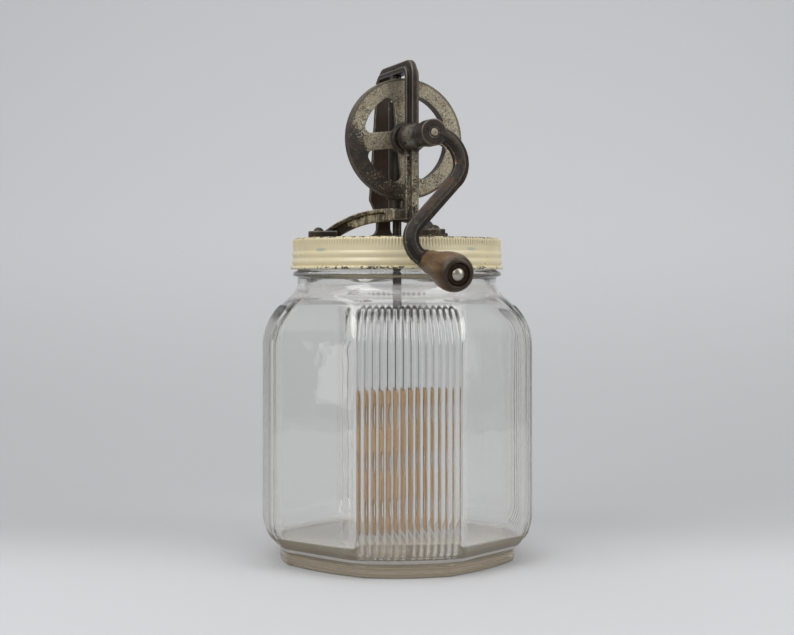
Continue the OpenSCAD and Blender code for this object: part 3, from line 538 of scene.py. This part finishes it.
def plain_steel(name, tone, brown):
    """Drawn steel of pins and shafts: fine lines, dull, with brown spots."""
    f = Finish(name)
    lines = f.noise(800, 2, 0.5, place=f.mapped(Scale=(1, 1, 16)))
    spots = f.noise(240, 4, 0.65)
    mixed = f.mix(spots.ramp(0.48, 0.72) * brown, tone, STEEL_RUST)
    mixed = f.mix(lines.ramp(0.35, 0.7) * 0.3, mixed, shade(tone, 0.55))
    return f.done(Base_Color=mixed, Metallic=0.9 - spots.ramp(0.5, 0.75) * 0.5,
                  Roughness=lines * 0.2 + spots.ramp(0.4, 0.8, 0.22, 0.45),
                  Normal=f.bump(lines * 0.4 + spots, 0.05, 0.4))


def axle_steel():
    """Riveted end of the crank's axle: dull and bright in the middle, dark with old grease round its edge."""
    f = Finish("axle_steel")
    x, drop = f.axis("X"), f.axis("Z") - AXLE_Z * MM
    reach = (x * x + drop * drop) ** 0.5 / MM
    spots = f.noise(500, 3, 0.6)
    tone = f.mix(spots.ramp(0.4, 0.65), AXLE_BRIGHT, AXLE_DULL)
    tone = f.mix((reach + (spots - 0.5) * 1.2).ramp(1.7, 2.3), tone, OLD_GREASE)
    return f.done(Base_Color=tone, Metallic=0.6, Roughness=spots.ramp(0.3, 0.7, 0.35, 0.55),
                  Normal=f.bump(spots, 0.12, 0.5))


def grip_wood(origin, axis):
    """Turned hardwood: grain along the grip, painted shade in hollows such as the rings that hands and tools have
    worn, painted shade in the end's recess, polished.
    """
    f = Finish("grip_wood")
    base = colour("grip_wood")
    lean = math.atan2(-axis[2], -axis[1])
    along = f.mapped(Scale=(1, 10, 1), Rotation=(lean, 0, 0))
    grain = f.noise(330, 5, 0.62, place=along, warp=0.4)
    bands = f.noise(95, 3, 0.5, place=along, warp=1.2)
    tone = f.mix(bands.ramp(0.35, 0.66), base, shade(base, 1.75))
    tone = f.mix(grain.ramp(0.5, 0.7) * 0.75, tone, shade(base, 0.42))
    y, z = f.axis("Y"), f.axis("Z")
    run = ((y - origin[1] * MM) * float(axis[1]) + (z - origin[2] * MM) * float(axis[2])) / MM
    # Darker towards the nose end, with painted shade where it reaches into the recess
    tone = f.mix(run.ramp(38, 43.4) * 0.85, tone, shade(base, 0.24))
    tone = f.mix(run.ramp(12, 7) * 0.35, tone, shade(base, 1.5))
    stain = f.noise(60, 3, 0.6).ramp(0.52, 0.75)
    tone = f.mix(stain * 0.5, tone, shade(base, 0.38))
    # Painted shade in hollows: the worn rings and the recess
    tone = f.mix(f.edges().ramp(0.48, 0.42), tone, shade(base, 0.15))
    return f.done(Base_Color=tone, Roughness=grain.ramp(0.3, 0.7, 0.34, 0.5), Specular_IOR_Level=0.3,
                  Coat_Weight=0.1, Coat_Roughness=0.25, Normal=f.bump(grain * -0.5 + bands * 0.2, 0.12, 0.5))


def board_wood():
    """Pale softwood board: upright grain in light and dark bands, stained where cream has stood."""
    f = Finish("paddle_wood")
    base = colour("paddle_wood")
    upright = f.mapped(Scale=(1, 1, 18))
    grain = f.noise(260, 5, 0.6, place=upright, warp=0.6)
    bands = f.noise(70, 3, 0.5, place=upright, warp=1.6)
    tone = f.mix(bands.ramp(0.36, 0.66), shade(base, 1.2), shade(base, 0.42))
    tone = f.mix(grain.ramp(0.52, 0.72) * 0.6, tone, shade(base, 0.48))
    tone = f.mix(f.noise(28, 3, 0.6).ramp(0.5, 0.75) * 0.4, tone, shade(base, 1.35))
    return f.done(Base_Color=tone, Roughness=grain.ramp(0.3, 0.7, 0.5, 0.68),
                  Normal=f.bump(grain * -0.6 + bands * 0.3, 0.22, 0.6))


def gasket_rubber():
    """Aged rubber ring: matt, brown-grey, finely cracked."""
    f = Finish("gasket_rubber")
    cracks, dust = f.pits(420), f.noise(90, 4, 0.6)
    tone = f.mix(dust.ramp(0.35, 0.7), RUBBER, RUBBER_DUST)
    return f.done(Base_Color=tone, Roughness=dust.ramp(0.3, 0.7, 0.7, 0.88), Normal=f.bump(cracks, 0.08, 0.5))


def studio_paper():
    """Pale seamless paper, with painted shade that greys it a little where it starts to rise behind the churn."""
    f = Finish("studio_paper")
    base = colour("floor")
    far = f.axis("X") * -math.sin(VIEW_TURN) + f.axis("Y") * math.cos(VIEW_TURN)
    tone = f.mix(f.noise(3, 2, 0.5).ramp(0.3, 0.7), base, shade(base, 0.985))
    # Painted shade where the paper starts to rise, and a trace of painted light higher up
    tone = f.mix(far.ramp(-0.06, 0.13), tone, shade(base, 0.85))
    tone = f.mix(f.axis("Z").ramp(0.01, 0.22), tone, shade(base, 1.01))
    return f.done(Base_Color=tone, Roughness=0.92, Specular_IOR_Level=0.1)


def wear(piece, material):
    """Gives an object one material in its only slot."""
    piece.data.materials.clear()
    piece.data.materials.append(material)


# Jar

JAR_REACH, JAR_FLAT, CORNER_R, FOOT_INSET = 76.5, 71.8, 110.0, 9.0
JAR_TURN = math.radians(-16.0 - 90.0)
CORNER_OFF = CORNER_R - JAR_REACH
HEEL_IN, HEEL_BASE = 51.5, 1.8
SHOULDER_IN, SHOULDER_TOP, LEVEL = 44.6, 153.7, 0.9
NECK_R, NECK_FILLET, NECK_FROM = 57.4, 12.0, 130.0
MOUTH_R, MOUTH_EDGE = 52.4, (147.0, 155.5)
RIB_COUNT, RIB_PITCH = 15, 3.72
RIB_TURN = RIB_PITCH / CORNER_R
RIB_FOOT, RIB_TOP, RIB_ARCH, RIB_ROUND = (12.6, 14.6), 143.6, 1.8, 1.4
EDGE_RUN, EDGE_TURN = 1.6, 0.01
BEAD_Z, BEAD_HALF, BEAD_OUT = 162.6, 1.72, 2.9
THREAD_Z, THREAD_PITCH, THREAD_WIDE = 169.2, 6.4, 0.16
THREAD_IN, THREAD_OUT = (166.2, 168.6), (178.6, 176.4)
ROUND_REACH, ROUND_FLAT = 70.0, 67.0
NO_RIBS = np.zeros((1, 1))
BEND_COLUMNS, STRAIGHT_COLUMNS = 6, 8
FLAT_COLUMNS = 2 * BEND_COLUMNS + STRAIGHT_COLUMNS
# Columns across a rib from -1 to 1, and how far each column of a corner is from its rib's middle
IN_RIB = np.array([-1.0, -0.92, -0.72, -0.38, 0.0, 0.38, 0.72, 0.92])
FROM_MIDDLE = np.append(np.tile(np.abs(IN_RIB), RIB_COUNT), 1.0)
# Share of the foot's plan and height
FOOT = np.array([[0.0, 0.9], [0.5, 0.9], [0.88, 0.9], [0.94, 0.35], [0.962, 0.0], [0.984, 0.05], [0.996, 0.5],
                 [1.0, 1.3], [1.0, 3.2], [1.0, 5.0], [0.999, 6.2], [0.993, 7.0], [0.985, 7.5], [0.984, 7.9]])
# Radius and height over the rim
LIP = np.array([[57.4, -1.4], [57.25, -0.8], [56.7, -0.25], [55.9, 0], [54.2, 0], [53.2, -0.25], [52.6, -0.8],
                [52.4, -1.6], [52.4, -5], [52.4, -11], [52.4, -18], [52.4, -24]])
# Share of the inside's plan and height
FLOOR = np.array([[0.985, 12.7], [0.96, 11.9], [0.92, 11.35], [0.86, 11.05], [0.6, 11], [0.3, 11], [0.0, 11]])
# Heights of the other rows, closer where the glass bends
BODY_Z = np.r_[8.35, 8.8, 9.6, 11.0, 12.5, 13.6, np.linspace(14.1, 27, 10), 34, 46, 62, 78, 94, 108, 116,
               np.linspace(121.8, 141, 12), 142, 142.9, 143.6, 144.1, 144.5, 144.8, 145,
               np.linspace(145.7, 152, 10), np.linspace(152.7, 157.5, 6)]
NECK_Z = np.r_[158.6, 159.8, 160.6, np.linspace(160.9, 164.3, 9), 164.6, 165.2, np.linspace(166, 179, 21)]
OVER_Z = np.linspace(156, 128, 26)
INNER_Z = np.r_[125.5, 122.5, 119, 108, 92, 72, 52, 38, np.linspace(30, 16, 9), 14.8, 13.7]


def jar_side(reach, height, inset):
    """Distance of the wall from the axis at each height: a heel arc, a straight and a shoulder arc.

    Where the shoulder arc is nearly level it runs on straight, so that a soft fillet can join it to the neck.
    """
    heel, shoulder = reach - inset - HEEL_IN, reach - inset - SHOULDER_IN
    heel_z, shoulder_z = HEEL_BASE + inset + heel, SHOULDER_TOP - inset - shoulder
    low = HEEL_IN + np.sqrt(np.clip(heel ** 2 - np.clip(heel_z - height, 0, None) ** 2, 0, None))
    rise = height - shoulder_z
    past = np.clip(rise - LEVEL * shoulder, 0, None) * LEVEL / math.sqrt(1 - LEVEL ** 2)
    high = SHOULDER_IN + np.sqrt(shoulder ** 2 - np.clip(rise, 0, LEVEL * shoulder) ** 2) - past
    return np.minimum(low, high)


def jar_plan(reach, flat, ribs=NO_RIBS):
    """Points round the jar for each row: four curved corners, ribbed by the given heights, and four flats.

    A corner is an arc about a far centre, and each rib adds a half-round sqrt(1 - u^2) across its pitch. Ribs has
    one column, or one for each point across the ribs. A flat is straight, and a quadratic curve rounds the edge
    where it meets a corner.
    """
    rib = np.arange(RIB_COUNT) - (RIB_COUNT - 1) / 2
    turn = np.append((rib[:, None] + IN_RIB / 2).ravel(), RIB_COUNT / 2) * RIB_TURN
    big = CORNER_OFF + reach[:, None]
    limit = math.pi / 4 - np.arccos((flat[:, None] + CORNER_OFF / math.sqrt(2)) / big)
    turn = turn * np.minimum(1.0, (limit - EDGE_TURN) / turn[-1])

    def on_arc(radius, angle):
        return np.stack([radius * np.cos(angle) - CORNER_OFF, radius * np.sin(angle)], axis=-1)

    corner, edge = on_arc(big + ribs * np.sqrt(1 - FROM_MIDDLE ** 2), turn), on_arc(big, limit)
    normal, along = np.array([1, 1]) / math.sqrt(2), np.array([-1, 1]) / math.sqrt(2)
    start, stop = on_arc(big, (limit + turn[:, -1:]) / 2), edge + EDGE_RUN * along
    t = np.linspace(0, 1, BEND_COLUMNS)[None, :, None]
    bend = (1 - t) ** 2 * start + 2 * t * (1 - t) * edge + t ** 2 * stop
    half = (stop * along).sum(-1)[..., None]
    across = np.linspace(-1, 1, STRAIGHT_COLUMNS + 2)[None, 1:-1, None] * np.abs(half)
    straight = flat[:, None, None] * normal + across * along
    quarter = np.concatenate([corner, bend, straight, bend[:, ::-1, ::-1]], axis=1)
    whole = []
    for k in range(4):
        c, s = math.cos(k * math.pi / 2 + JAR_TURN), math.sin(k * math.pi / 2 + JAR_TURN)
        whole.append(quarter @ np.array([[c, s], [-s, c]]))
    return np.concatenate(whole, axis=1)


def jar_rows(height, inset, neck, soft, ribs=NO_RIBS):
    """Skin of the jar at the given heights: the body's plan, or the round neck where that is wider."""
    plan = jar_plan(jar_side(JAR_REACH, height, inset), jar_side(JAR_FLAT, height, inset), ribs)
    reach = np.linalg.norm(plan, axis=-1)
    wide = smooth_max(reach, neck, soft)
    return lifted(plan * (wide / reach)[..., None], height)


def foot_rows():
    """Foot slab from the middle of its base to its groove: the body's plan drawn in, and half way to a circle."""
    reach, flat = JAR_REACH - FOOT_INSET, JAR_FLAT - FOOT_INSET
    plan = jar_plan(np.array([reach]), np.array([flat]))
    plan = plan * (0.5 + 0.5 * reach / np.linalg.norm(plan, axis=-1, keepdims=True))
    return lifted(plan * FOOT[:, None, :1], FOOT[:, 1])


def body_rows(past):
    """Outside of the body from heel to shoulder, with ribs that rise over the heel.

    Each rib dies away past its end as a quarter of an ellipse.
    """
    ends = np.sqrt(np.clip(1 - (np.clip(past, 0, None) / RIB_ROUND) ** 2, 0, None))
    ribs = sizes().rib_height * smooth_step(BODY_Z, *RIB_FOOT)[:, None] * ends
    return jar_rows(BODY_Z, 0.0, np.where(BODY_Z > NECK_FROM, NECK_R, 1.0)[:, None], NECK_FILLET, ribs)


def neck_rows(way):
    """Round neck with a half-round bead and a thread, a bell curve exp(-t^2) that climbs by a pitch in a turn."""
    angle = np.arctan2(way[..., 1], way[..., 0])
    bead = BEAD_OUT * np.sqrt(np.clip(1 - ((NECK_Z - BEAD_Z) / BEAD_HALF) ** 2, 0, None))[:, None]
    climb = (NECK_Z[:, None] - THREAD_Z) / THREAD_PITCH - angle / (2 * np.pi)
    turn = climb - np.round(climb)
    ends = smooth_step(NECK_Z, *THREAD_IN) * smooth_step(NECK_Z, *THREAD_OUT)
    thread = sizes().thread_height * np.exp(-(turn / THREAD_WIDE) ** 2) * ends[:, None]
    return lifted(way * (NECK_R + bead + thread)[..., None], NECK_Z)


def inside_rows():
    """Inside of the jar from the mouth to the floor's edge.

    Under the neck it lies a wall's thickness inside the outer skin, square to its section. Lower down it is the
    body's plan drawn in by the wall.
    """
    wall = sizes().glass_wall
    over = jar_rows(OVER_Z, 0.0, NECK_R, NECK_FILLET)
    reach = np.linalg.norm(over[..., :2], axis=-1)
    slope = np.gradient(reach, OVER_Z, axis=0)
    thick = wall + (NECK_R - MOUTH_R - wall) * smooth_step(OVER_Z, *MOUTH_EDGE)
    thick = thick[:, None] / np.sqrt(1 + slope ** 2)
    over[..., :2] *= (1 - thick / reach)[..., None]
    over[..., 2] += thick * slope
    return np.concatenate([over, jar_rows(INNER_Z, wall, 1.0, 1.0)])


def rib_shades(past):
    """Painted shade on the glass of the body where its ribs end: most in the grooves and at the blunt ends."""
    groove = smooth_step(FROM_MIDDLE, 0.35, 0.8) * smooth_step(BODY_Z, 135.0, 141.0)[:, None]
    blunt = smooth_step(past, 0.1, 0.8)
    corner = np.maximum(groove, blunt) * smooth_step(past, 2.6, 1.7)
    return np.tile(np.concatenate([corner, np.zeros((len(BODY_Z), FLAT_COLUMNS))], axis=1), 4)


def make_jar_rows():
    """All rows of the jar from the middle of its base over the rim to the middle of its floor, and their shades.

    A rib's end is an arch: it lies higher in the rib's middle than at its sides by a parabola.
    """
    past = BODY_Z[:, None] - RIB_TOP + RIB_ARCH * FROM_MIDDLE ** 2
    round_plan = jar_plan(np.array([ROUND_REACH]), np.array([ROUND_FLAT]))
    way = round_plan / np.linalg.norm(round_plan, axis=-1, keepdims=True)
    foot, body, inside = foot_rows(), body_rows(past), inside_rows()
    lip = lifted(way * LIP[:, None, :1], LIP[:, 1] + JAR_RIM)
    floor = lifted(inside[-1:, :, :2] * FLOOR[:, None, :1], FLOOR[:, 1])
    rows = np.concatenate([foot, body, neck_rows(way), lip, inside, floor])
    shades = np.zeros(rows.shape[:2])
    shades[len(foot):len(foot) + len(body)] = rib_shades(past)
    return rows, shades


class CHURN_OT_jar(bpy.types.Operator):
    """Builds the ribbed glass jar with its foot, shoulder, bead, thread and rim"""
    bl_idname = "churn.jar"
    bl_label = "Glass jar"

    def execute(self, context):
        rows, shades = make_jar_rows()
        jar = round_grid("jar_glass", rows)
        shade_map = jar.data.attributes.new("rib_shade", "FLOAT", "POINT")
        shade_map.data.foreach_set("value", np.concatenate([shades[:1, 0], shades[1:-1].ravel(), shades[-1:, 0]]))
        wear(jar, clear_glass())
        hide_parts("jar")
        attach(jar, "jar_body")
        return {"FINISHED"}


# Lid

LID_R, LID_SLIM, BAND_FOOT = 60.0, 59.7, 10.2
CURL_R, CURL_OUT = 0.9, 60.6
KNURL_STEPS, KNURL_RISE, KNURL_FROM = 6, (10.9, 14.6), 58.0
# Radius and height over the lid's edge of the flat top and of the inside
LID_TOP = np.array([[0, 17.9], [20, 17.9], [40, 17.9], [52, 17.9], [56.5, 17.88], [58.2, 17.75], [59.1, 17.4]])
LID_INSIDE = np.array([[59.25, 1.6], [59.2, 4], [59.2, 10], [59.2, 16.2], [58.9, 16.9], [58.2, 17.1], [50, 17.1],
                       [25, 17.1], [0, 17.1]])
# Height, half width, reach and sharpness of the rolled beads
BEADS = ((8.5, 2.5, 0.8, 1.4), (4.2, 2.2, 0.95, 1.2))


def lid_profile():
    """Half section of the pressed lid, from the middle of its top round the curled edge to the middle inside.

    Each bead adds its reach times a power of the cosine across its width, and the curl is an arc.
    """
    band_z = np.r_[np.linspace(17, 12.4, 10), 12, 11.6]
    band = np.stack([np.interp(band_z, [16.4, 17.0], [LID_R, 59.65]), band_z], axis=-1)
    beads_z = np.linspace(11.2, 2.2, 28)
    swell = LID_SLIM
    for height, half, out, power in BEADS:
        swell = swell + out * np.cos(np.clip((beads_z - height) / half, -1, 1) * np.pi / 2) ** power
    beads = np.stack([smooth_max(swell, np.where(beads_z > BAND_FOOT, LID_R, LID_SLIM), 0.3), beads_z], axis=-1)
    angle = np.linspace(math.radians(130), math.radians(-160), 12)
    curl = np.stack([CURL_OUT + CURL_R * np.cos(angle), CURL_R + CURL_R * np.sin(angle)], axis=-1)
    return np.concatenate([LID_TOP, band, beads, curl, LID_INSIDE]) + [0, LID_BASE]


class CHURN_OT_lid(bpy.types.Operator):
    """Builds the pressed screw lid with its knurled band, rolled beads and curled edge"""
    bl_idname = "churn.lid"
    bl_label = "Screw lid"

    def execute(self, context):
        profile = lid_profile()
        count = sizes().knurl_count
        rows = turned(profile, count * KNURL_STEPS)
        angle = np.linspace(0, 2 * np.pi, count * KNURL_STEPS, endpoint=False)
        notch = 0.5 + 0.5 * np.cos(angle * count)
        height = profile[:, 1] - LID_BASE
        outside = np.arange(len(profile)) < len(profile) - len(LID_INSIDE)
        depth = sizes().knurl_depth * smooth_step(height, *KNURL_RISE) * (profile[:, 0] > KNURL_FROM) * outside
        reach = profile[:, 0].clip(1e-6)[:, None]
        rows[..., :2] *= (1 - depth[:, None] * notch / reach)[..., None]
        lid = round_grid("lid_shell", rows)
        wear(lid, cream_enamel())
        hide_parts("lid")
        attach(lid, "lid_body")
        return {"FINISHED"}


# Castings

WELD_REACH = 0.002


def casting(name, node, grain, rounds):
    """Copy of a solid as a casting: its mesh is merged, remade from small even facets and smoothed.

    That rounds each sharp edge and fills each sharp corner a little, as sand casting does.
    """
    piece = add_object(name, frame["nodes"][node].data.copy())
    weld = piece.modifiers.new("weld", "WELD")
    weld.merge_threshold = WELD_REACH * MM
    remake = piece.modifiers.new("remake", "REMESH")
    remake.mode, remake.voxel_size, remake.use_smooth_shade = "VOXEL", grain * MM, True
    ease = piece.modifiers.new("ease", "SMOOTH")
    ease.factor, ease.iterations = 0.5, rounds
    bpy.context.view_layer.update()
    mesh = bpy.data.meshes.new_from_object(piece.evaluated_get(bpy.context.evaluated_depsgraph_get()))
    piece.modifiers.clear()
    piece.data = mesh
    mesh.name = name
    mesh.shade_smooth()
    return piece


class CHURN_OT_frame_casting(bpy.types.Operator):
    """Builds the iron gear frame as one casting with soft edges"""
    bl_idname = "churn.frame_casting"
    bl_label = "Gear frame"

    def execute(self, context):
        piece = casting("frame_casting", "gear_frame", grain=sizes().casting_grain, rounds=4)
        wear(piece, worn_iron("frame_iron", silver_share=0.9, brown=0.55, bare_edges_and_highlights=0.6, keen=0.06))
        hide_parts("gear_frame")
        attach(piece, "lid_body")
        return {"FINISHED"}


class CHURN_OT_wheel_casting(bpy.types.Operator):
    """Builds the spoked crown wheel as a casting with worn silver paint"""
    bl_idname = "churn.wheel_casting"
    bl_label = "Drive wheel"

    def execute(self, context):
        piece = casting("wheel_casting", "drive_wheel", grain=sizes().casting_grain * 0.9, rounds=5)
        wear(piece, silver_paint())
        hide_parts("drive_wheel")
        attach(piece, "crank_body")
        return {"FINISHED"}


class CHURN_OT_crank_casting(bpy.types.Operator):
    """Builds the bent crank as a smooth casting with a ridge along it"""
    bl_idname = "churn.crank_casting"
    bl_label = "Crank"

    def execute(self, context):
        piece = casting("crank_casting", "crank_arm", grain=sizes().casting_grain * 0.8, rounds=3)
        wear(piece, worn_iron("crank_iron", silver_share=0.0, brown=0.8, bare_edges_and_highlights=0.42, keen=0.035))
        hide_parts("crank_arm")
        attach(piece, "crank_body")
        return {"FINISHED"}


# Grip

GRIP_START, GRIP_COLUMNS = 6.6, 72
GRIP_SLIM, GRIP_FULL, GRIP_SWELL = 6.6, 10.25, 3.65
BODY_START, BODY_RUN, NOSE_START, NOSE_RUN = 0.5, 28.5, 29.0, 8.0
# Place along the body and depth of the worn rings
RINGS, RING_WIDE = ((0.12, 0.18), (0.19, 0.14)), 0.018
# Radius and height of the foot, and of the recess and bore
GRIP_FOOT = np.array([[2.35, 0], [4.5, 0], [5.8, 0.02], [6.35, 0.2]])
GRIP_RECESS = np.array([[6.4, 36.95], [6.18, 36.7], [6.1, 36.2], [6.1, 35.2], [5.95, 34.85], [4, 34.8],
                        [2.35, 34.8], [2.35, 24], [2.35, 10]])


def pin_line():
    """Point on the grip's pin and the pin's direction away from the crank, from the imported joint."""
    joint = next(j for j in frame["joints"] if j["name"] == "knob_spin")
    return np.array(joint["pos_m"]) / MM, np.array(joint["axis"])


def grip_profile():
    """Half section of the grip: its body swells as half a cosine wave, less worn rings shaped as bell curves.

    The nose is a quarter of an ellipse, and the recess and the bore lead back to the foot.
    """
    share = np.linspace(0, 1, 26)
    swell = GRIP_SLIM + GRIP_SWELL * (1 - np.cos(np.pi * share)) / 2
    worn = sum(depth * np.exp(-((share - place) / RING_WIDE) ** 2) for place, depth in RINGS)
    body = np.stack([swell - worn, BODY_START + BODY_RUN * share], axis=-1)
    round_off = np.radians(np.linspace(8, 90, 12))
    nose = np.stack([GRIP_FULL - GRIP_SWELL * (1 - np.cos(round_off)), NOSE_START + NOSE_RUN * np.sin(round_off)],
                    axis=-1)
    return np.concatenate([GRIP_FOOT, body, nose, GRIP_RECESS]) + [0, GRIP_START]


class CHURN_OT_grip(bpy.types.Operator):
    """Turns the wooden grip with its swell, worn rings and recessed end"""
    bl_idname = "churn.grip"
    bl_label = "Wooden grip"

    def execute(self, context):
        origin, axis = pin_line()
        rows = turned(grip_profile(), GRIP_COLUMNS)
        grip = ring_grid("turned_grip", onto_axis(rows, origin, axis))
        wear(grip, grip_wood(origin, axis))
        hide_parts("handle_knob")
        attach(grip, "knob_body")
        return {"FINISHED"}


# Small fittings

class CHURN_OT_fittings(bpy.types.Operator):
    """Finishes the shafts, pins, washers, rivets, eyelet, pinion and gasket that stay as solids"""
    bl_idname = "churn.fittings"
    bl_label = "Fittings"

    def execute(self, context):
        finishes = (
            (plain_steel("dull_steel", DULL_STEEL, brown=0.6),
             ("pinion_pin", "wheel_pin", "rivet_burrs", "lid_eyelet", "paddle_pins")),
            (plain_steel("brown_steel", BROWN_STEEL, brown=0.5), ("spindle", "axle_washer", "handle_washer")),
            (plain_steel("worn_bright_steel", BRIGHT_STEEL, brown=0.35), ("handle_pin",)),
            (plain_steel("recess_brown", RECESS_BROWN, brown=0.9), ("handle_cap",)),
            (worn_iron("fitting_iron", silver_share=0.0, brown=0.6, bare_edges_and_highlights=0.2), ("pinion", "frame_rivets")),
            (axle_steel(), ("crank_axle",)),
            (gasket_rubber(), ("lid_gasket",)),
        )
        for material, nodes in finishes:
            for node in nodes:
                wear(frame["nodes"][node], material)
        return {"FINISHED"}


class CHURN_OT_paddle(bpy.types.Operator):
    """Builds the wooden paddle board with worn edges and round holes"""
    bl_idname = "churn.paddle"
    bl_label = "Paddle"

    def execute(self, context):
        piece = casting("paddle_board", "paddle", grain=0.8, rounds=4)
        wear(piece, board_wood())
        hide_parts("paddle")
        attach(piece, "dasher_body")
        return {"FINISHED"}


# Stage

AHEAD = np.array([-math.sin(VIEW_TURN), math.cos(VIEW_TURN), 0.0])
ASIDE = np.array([math.cos(VIEW_TURN), math.sin(VIEW_TURN), 0.0])
UP = np.array([0.0, 0.0, 1.0])
CAMERA_AWAY, CAMERA_HIGH, CAMERA_SHIFT = 848.4, 162.04, -42.5 / 794.0
SWEEP_NEAR, SWEEP_FAR, SWEEP_R, SWEEP_TOP, SWEEP_HALF = -1900.0, 260.0, 520.0, 2600.0, 760.0
# Place and aim to the right, ahead and up in millimetres, width, height, and power in watts
LAMPS = {
    "key_left": ((-700, -650, 850), (0, 0, 140), 700, 1000, 8.0),
    "fill_right": ((950, -450, 700), (0, 0, 150), 600, 900, 7.0),
    "overhead": ((0, -50, 1300), (0, 0, 0), 1700, 1300, 12.0),
    "strip_left": ((-1020, -200, 41), (-32, -67, 109), 42, 80, 0.011),
}


def from_view(aside, ahead, up):
    """Point that lies so far to the right of the jar's axis, away from the camera and up, as the camera sees it."""
    return aside * ASIDE + ahead * AHEAD + up * UP


def paper_sweep():
    """Sheet of paper that lies level towards the camera, and rises behind the churn over a quarter circle."""
    bend = np.linspace(0, np.pi / 2, 24)
    run = np.r_[SWEEP_NEAR, SWEEP_FAR, SWEEP_FAR + SWEEP_R * np.sin(bend), SWEEP_FAR + SWEEP_R]
    rise = np.r_[0.0, 0.0, SWEEP_R - SWEEP_R * np.cos(bend), SWEEP_TOP]
    across = np.linspace(-SWEEP_HALF, SWEEP_HALF, 3)
    points = from_view(across[None, :, None], run[:, None, None], rise[:, None, None])
    count, wide = points.shape[:2]
    first = (np.arange(count - 1)[:, None] * wide + np.arange(wide - 1)).reshape(-1)
    quads = np.stack([first, first + 1, first + wide + 1, first + wide], axis=-1)
    return linked_object("paper_sweep", points.reshape(-1, 3), quads.tolist())


class CHURN_OT_stage(bpy.types.Operator):
    """Sets the paper sweep, the soft lights, the world and the camera"""
    bl_idname = "churn.stage"
    bl_label = "Studio stage"

    def execute(self, context):
        scene = context.scene
        paper = paper_sweep()
        wear(paper, studio_paper())

        camera = add_object("camera", bpy.data.cameras.new("camera"))
        camera.location = from_view(0.0, -CAMERA_AWAY, CAMERA_HIGH) * MM
        camera.rotation_euler = (math.pi / 2, 0.0, VIEW_TURN)
        camera.data.lens, camera.data.sensor_width = 66.5, 36.0
        camera.data.shift_y = CAMERA_SHIFT
        camera.data.clip_start, camera.data.clip_end = 0.05, 20.0
        scene.camera = camera

        for name, (spot, aim, width, tall, power) in LAMPS.items():
            lamp = bpy.data.lights.new(name, "AREA")
            lamp.shape, lamp.size, lamp.size_y, lamp.energy = "RECTANGLE", width * MM, tall * MM, power
            item = add_object(name, lamp)
            place, goal = from_view(*spot), from_view(*aim)
            item.location = place * MM
            look = (goal - place) / np.linalg.norm(goal - place)
            item.rotation_euler = (math.acos(-look[2]), 0.0, math.atan2(look[1], look[0]) - math.pi / 2)

        world = bpy.data.worlds.new("studio_air")
        world.use_nodes = True
        air = world.node_tree.nodes["Background"]
        air.inputs["Color"].default_value = (0.96, 0.98, 1.0, 1.0)
        air.inputs["Strength"].default_value = 0.2
        scene.world = world
        scene.view_settings.view_transform = "Standard"
        return {"FINISHED"}


class CHURN_PT_panel(bpy.types.Panel):
    """Lists the pieces of the churn and the values they are built from"""
    bl_idname = "CHURN_PT_panel"
    bl_label = "Butter Churn"
    bl_space_type = "VIEW_3D"
    bl_region_type = "UI"
    bl_category = "Churn"

    def draw(self, context):
        column = self.layout.column()
        for group in (context.scene.churn_sizes, context.scene.churn_colours):
            for key in group.__annotations__:
                column.prop(group, key)
        for operator in OPERATORS:
            column.operator(operator.bl_idname)


OPERATORS = (CHURN_OT_stage, CHURN_OT_jar, CHURN_OT_lid, CHURN_OT_frame_casting, CHURN_OT_wheel_casting,
             CHURN_OT_crank_casting, CHURN_OT_grip, CHURN_OT_fittings, CHURN_OT_paddle)
CLASSES = (ChurnSizes, ChurnColours, *OPERATORS, CHURN_PT_panel)


def register():
    for item in CLASSES:
        bpy.utils.register_class(item)
    bpy.types.Scene.churn_sizes = bpy.props.PointerProperty(type=ChurnSizes)
    bpy.types.Scene.churn_colours = bpy.props.PointerProperty(type=ChurnColours)


def unregister():
    del bpy.types.Scene.churn_colours
    del bpy.types.Scene.churn_sizes
    for item in reversed(CLASSES):
        bpy.utils.unregister_class(item)


def main():
    """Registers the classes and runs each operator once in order."""
    register()
    for operator in OPERATORS:
        group, name = operator.bl_idname.split(".")
        getattr(getattr(bpy.ops, group), name)()


if __name__ == "__main__":
    main()
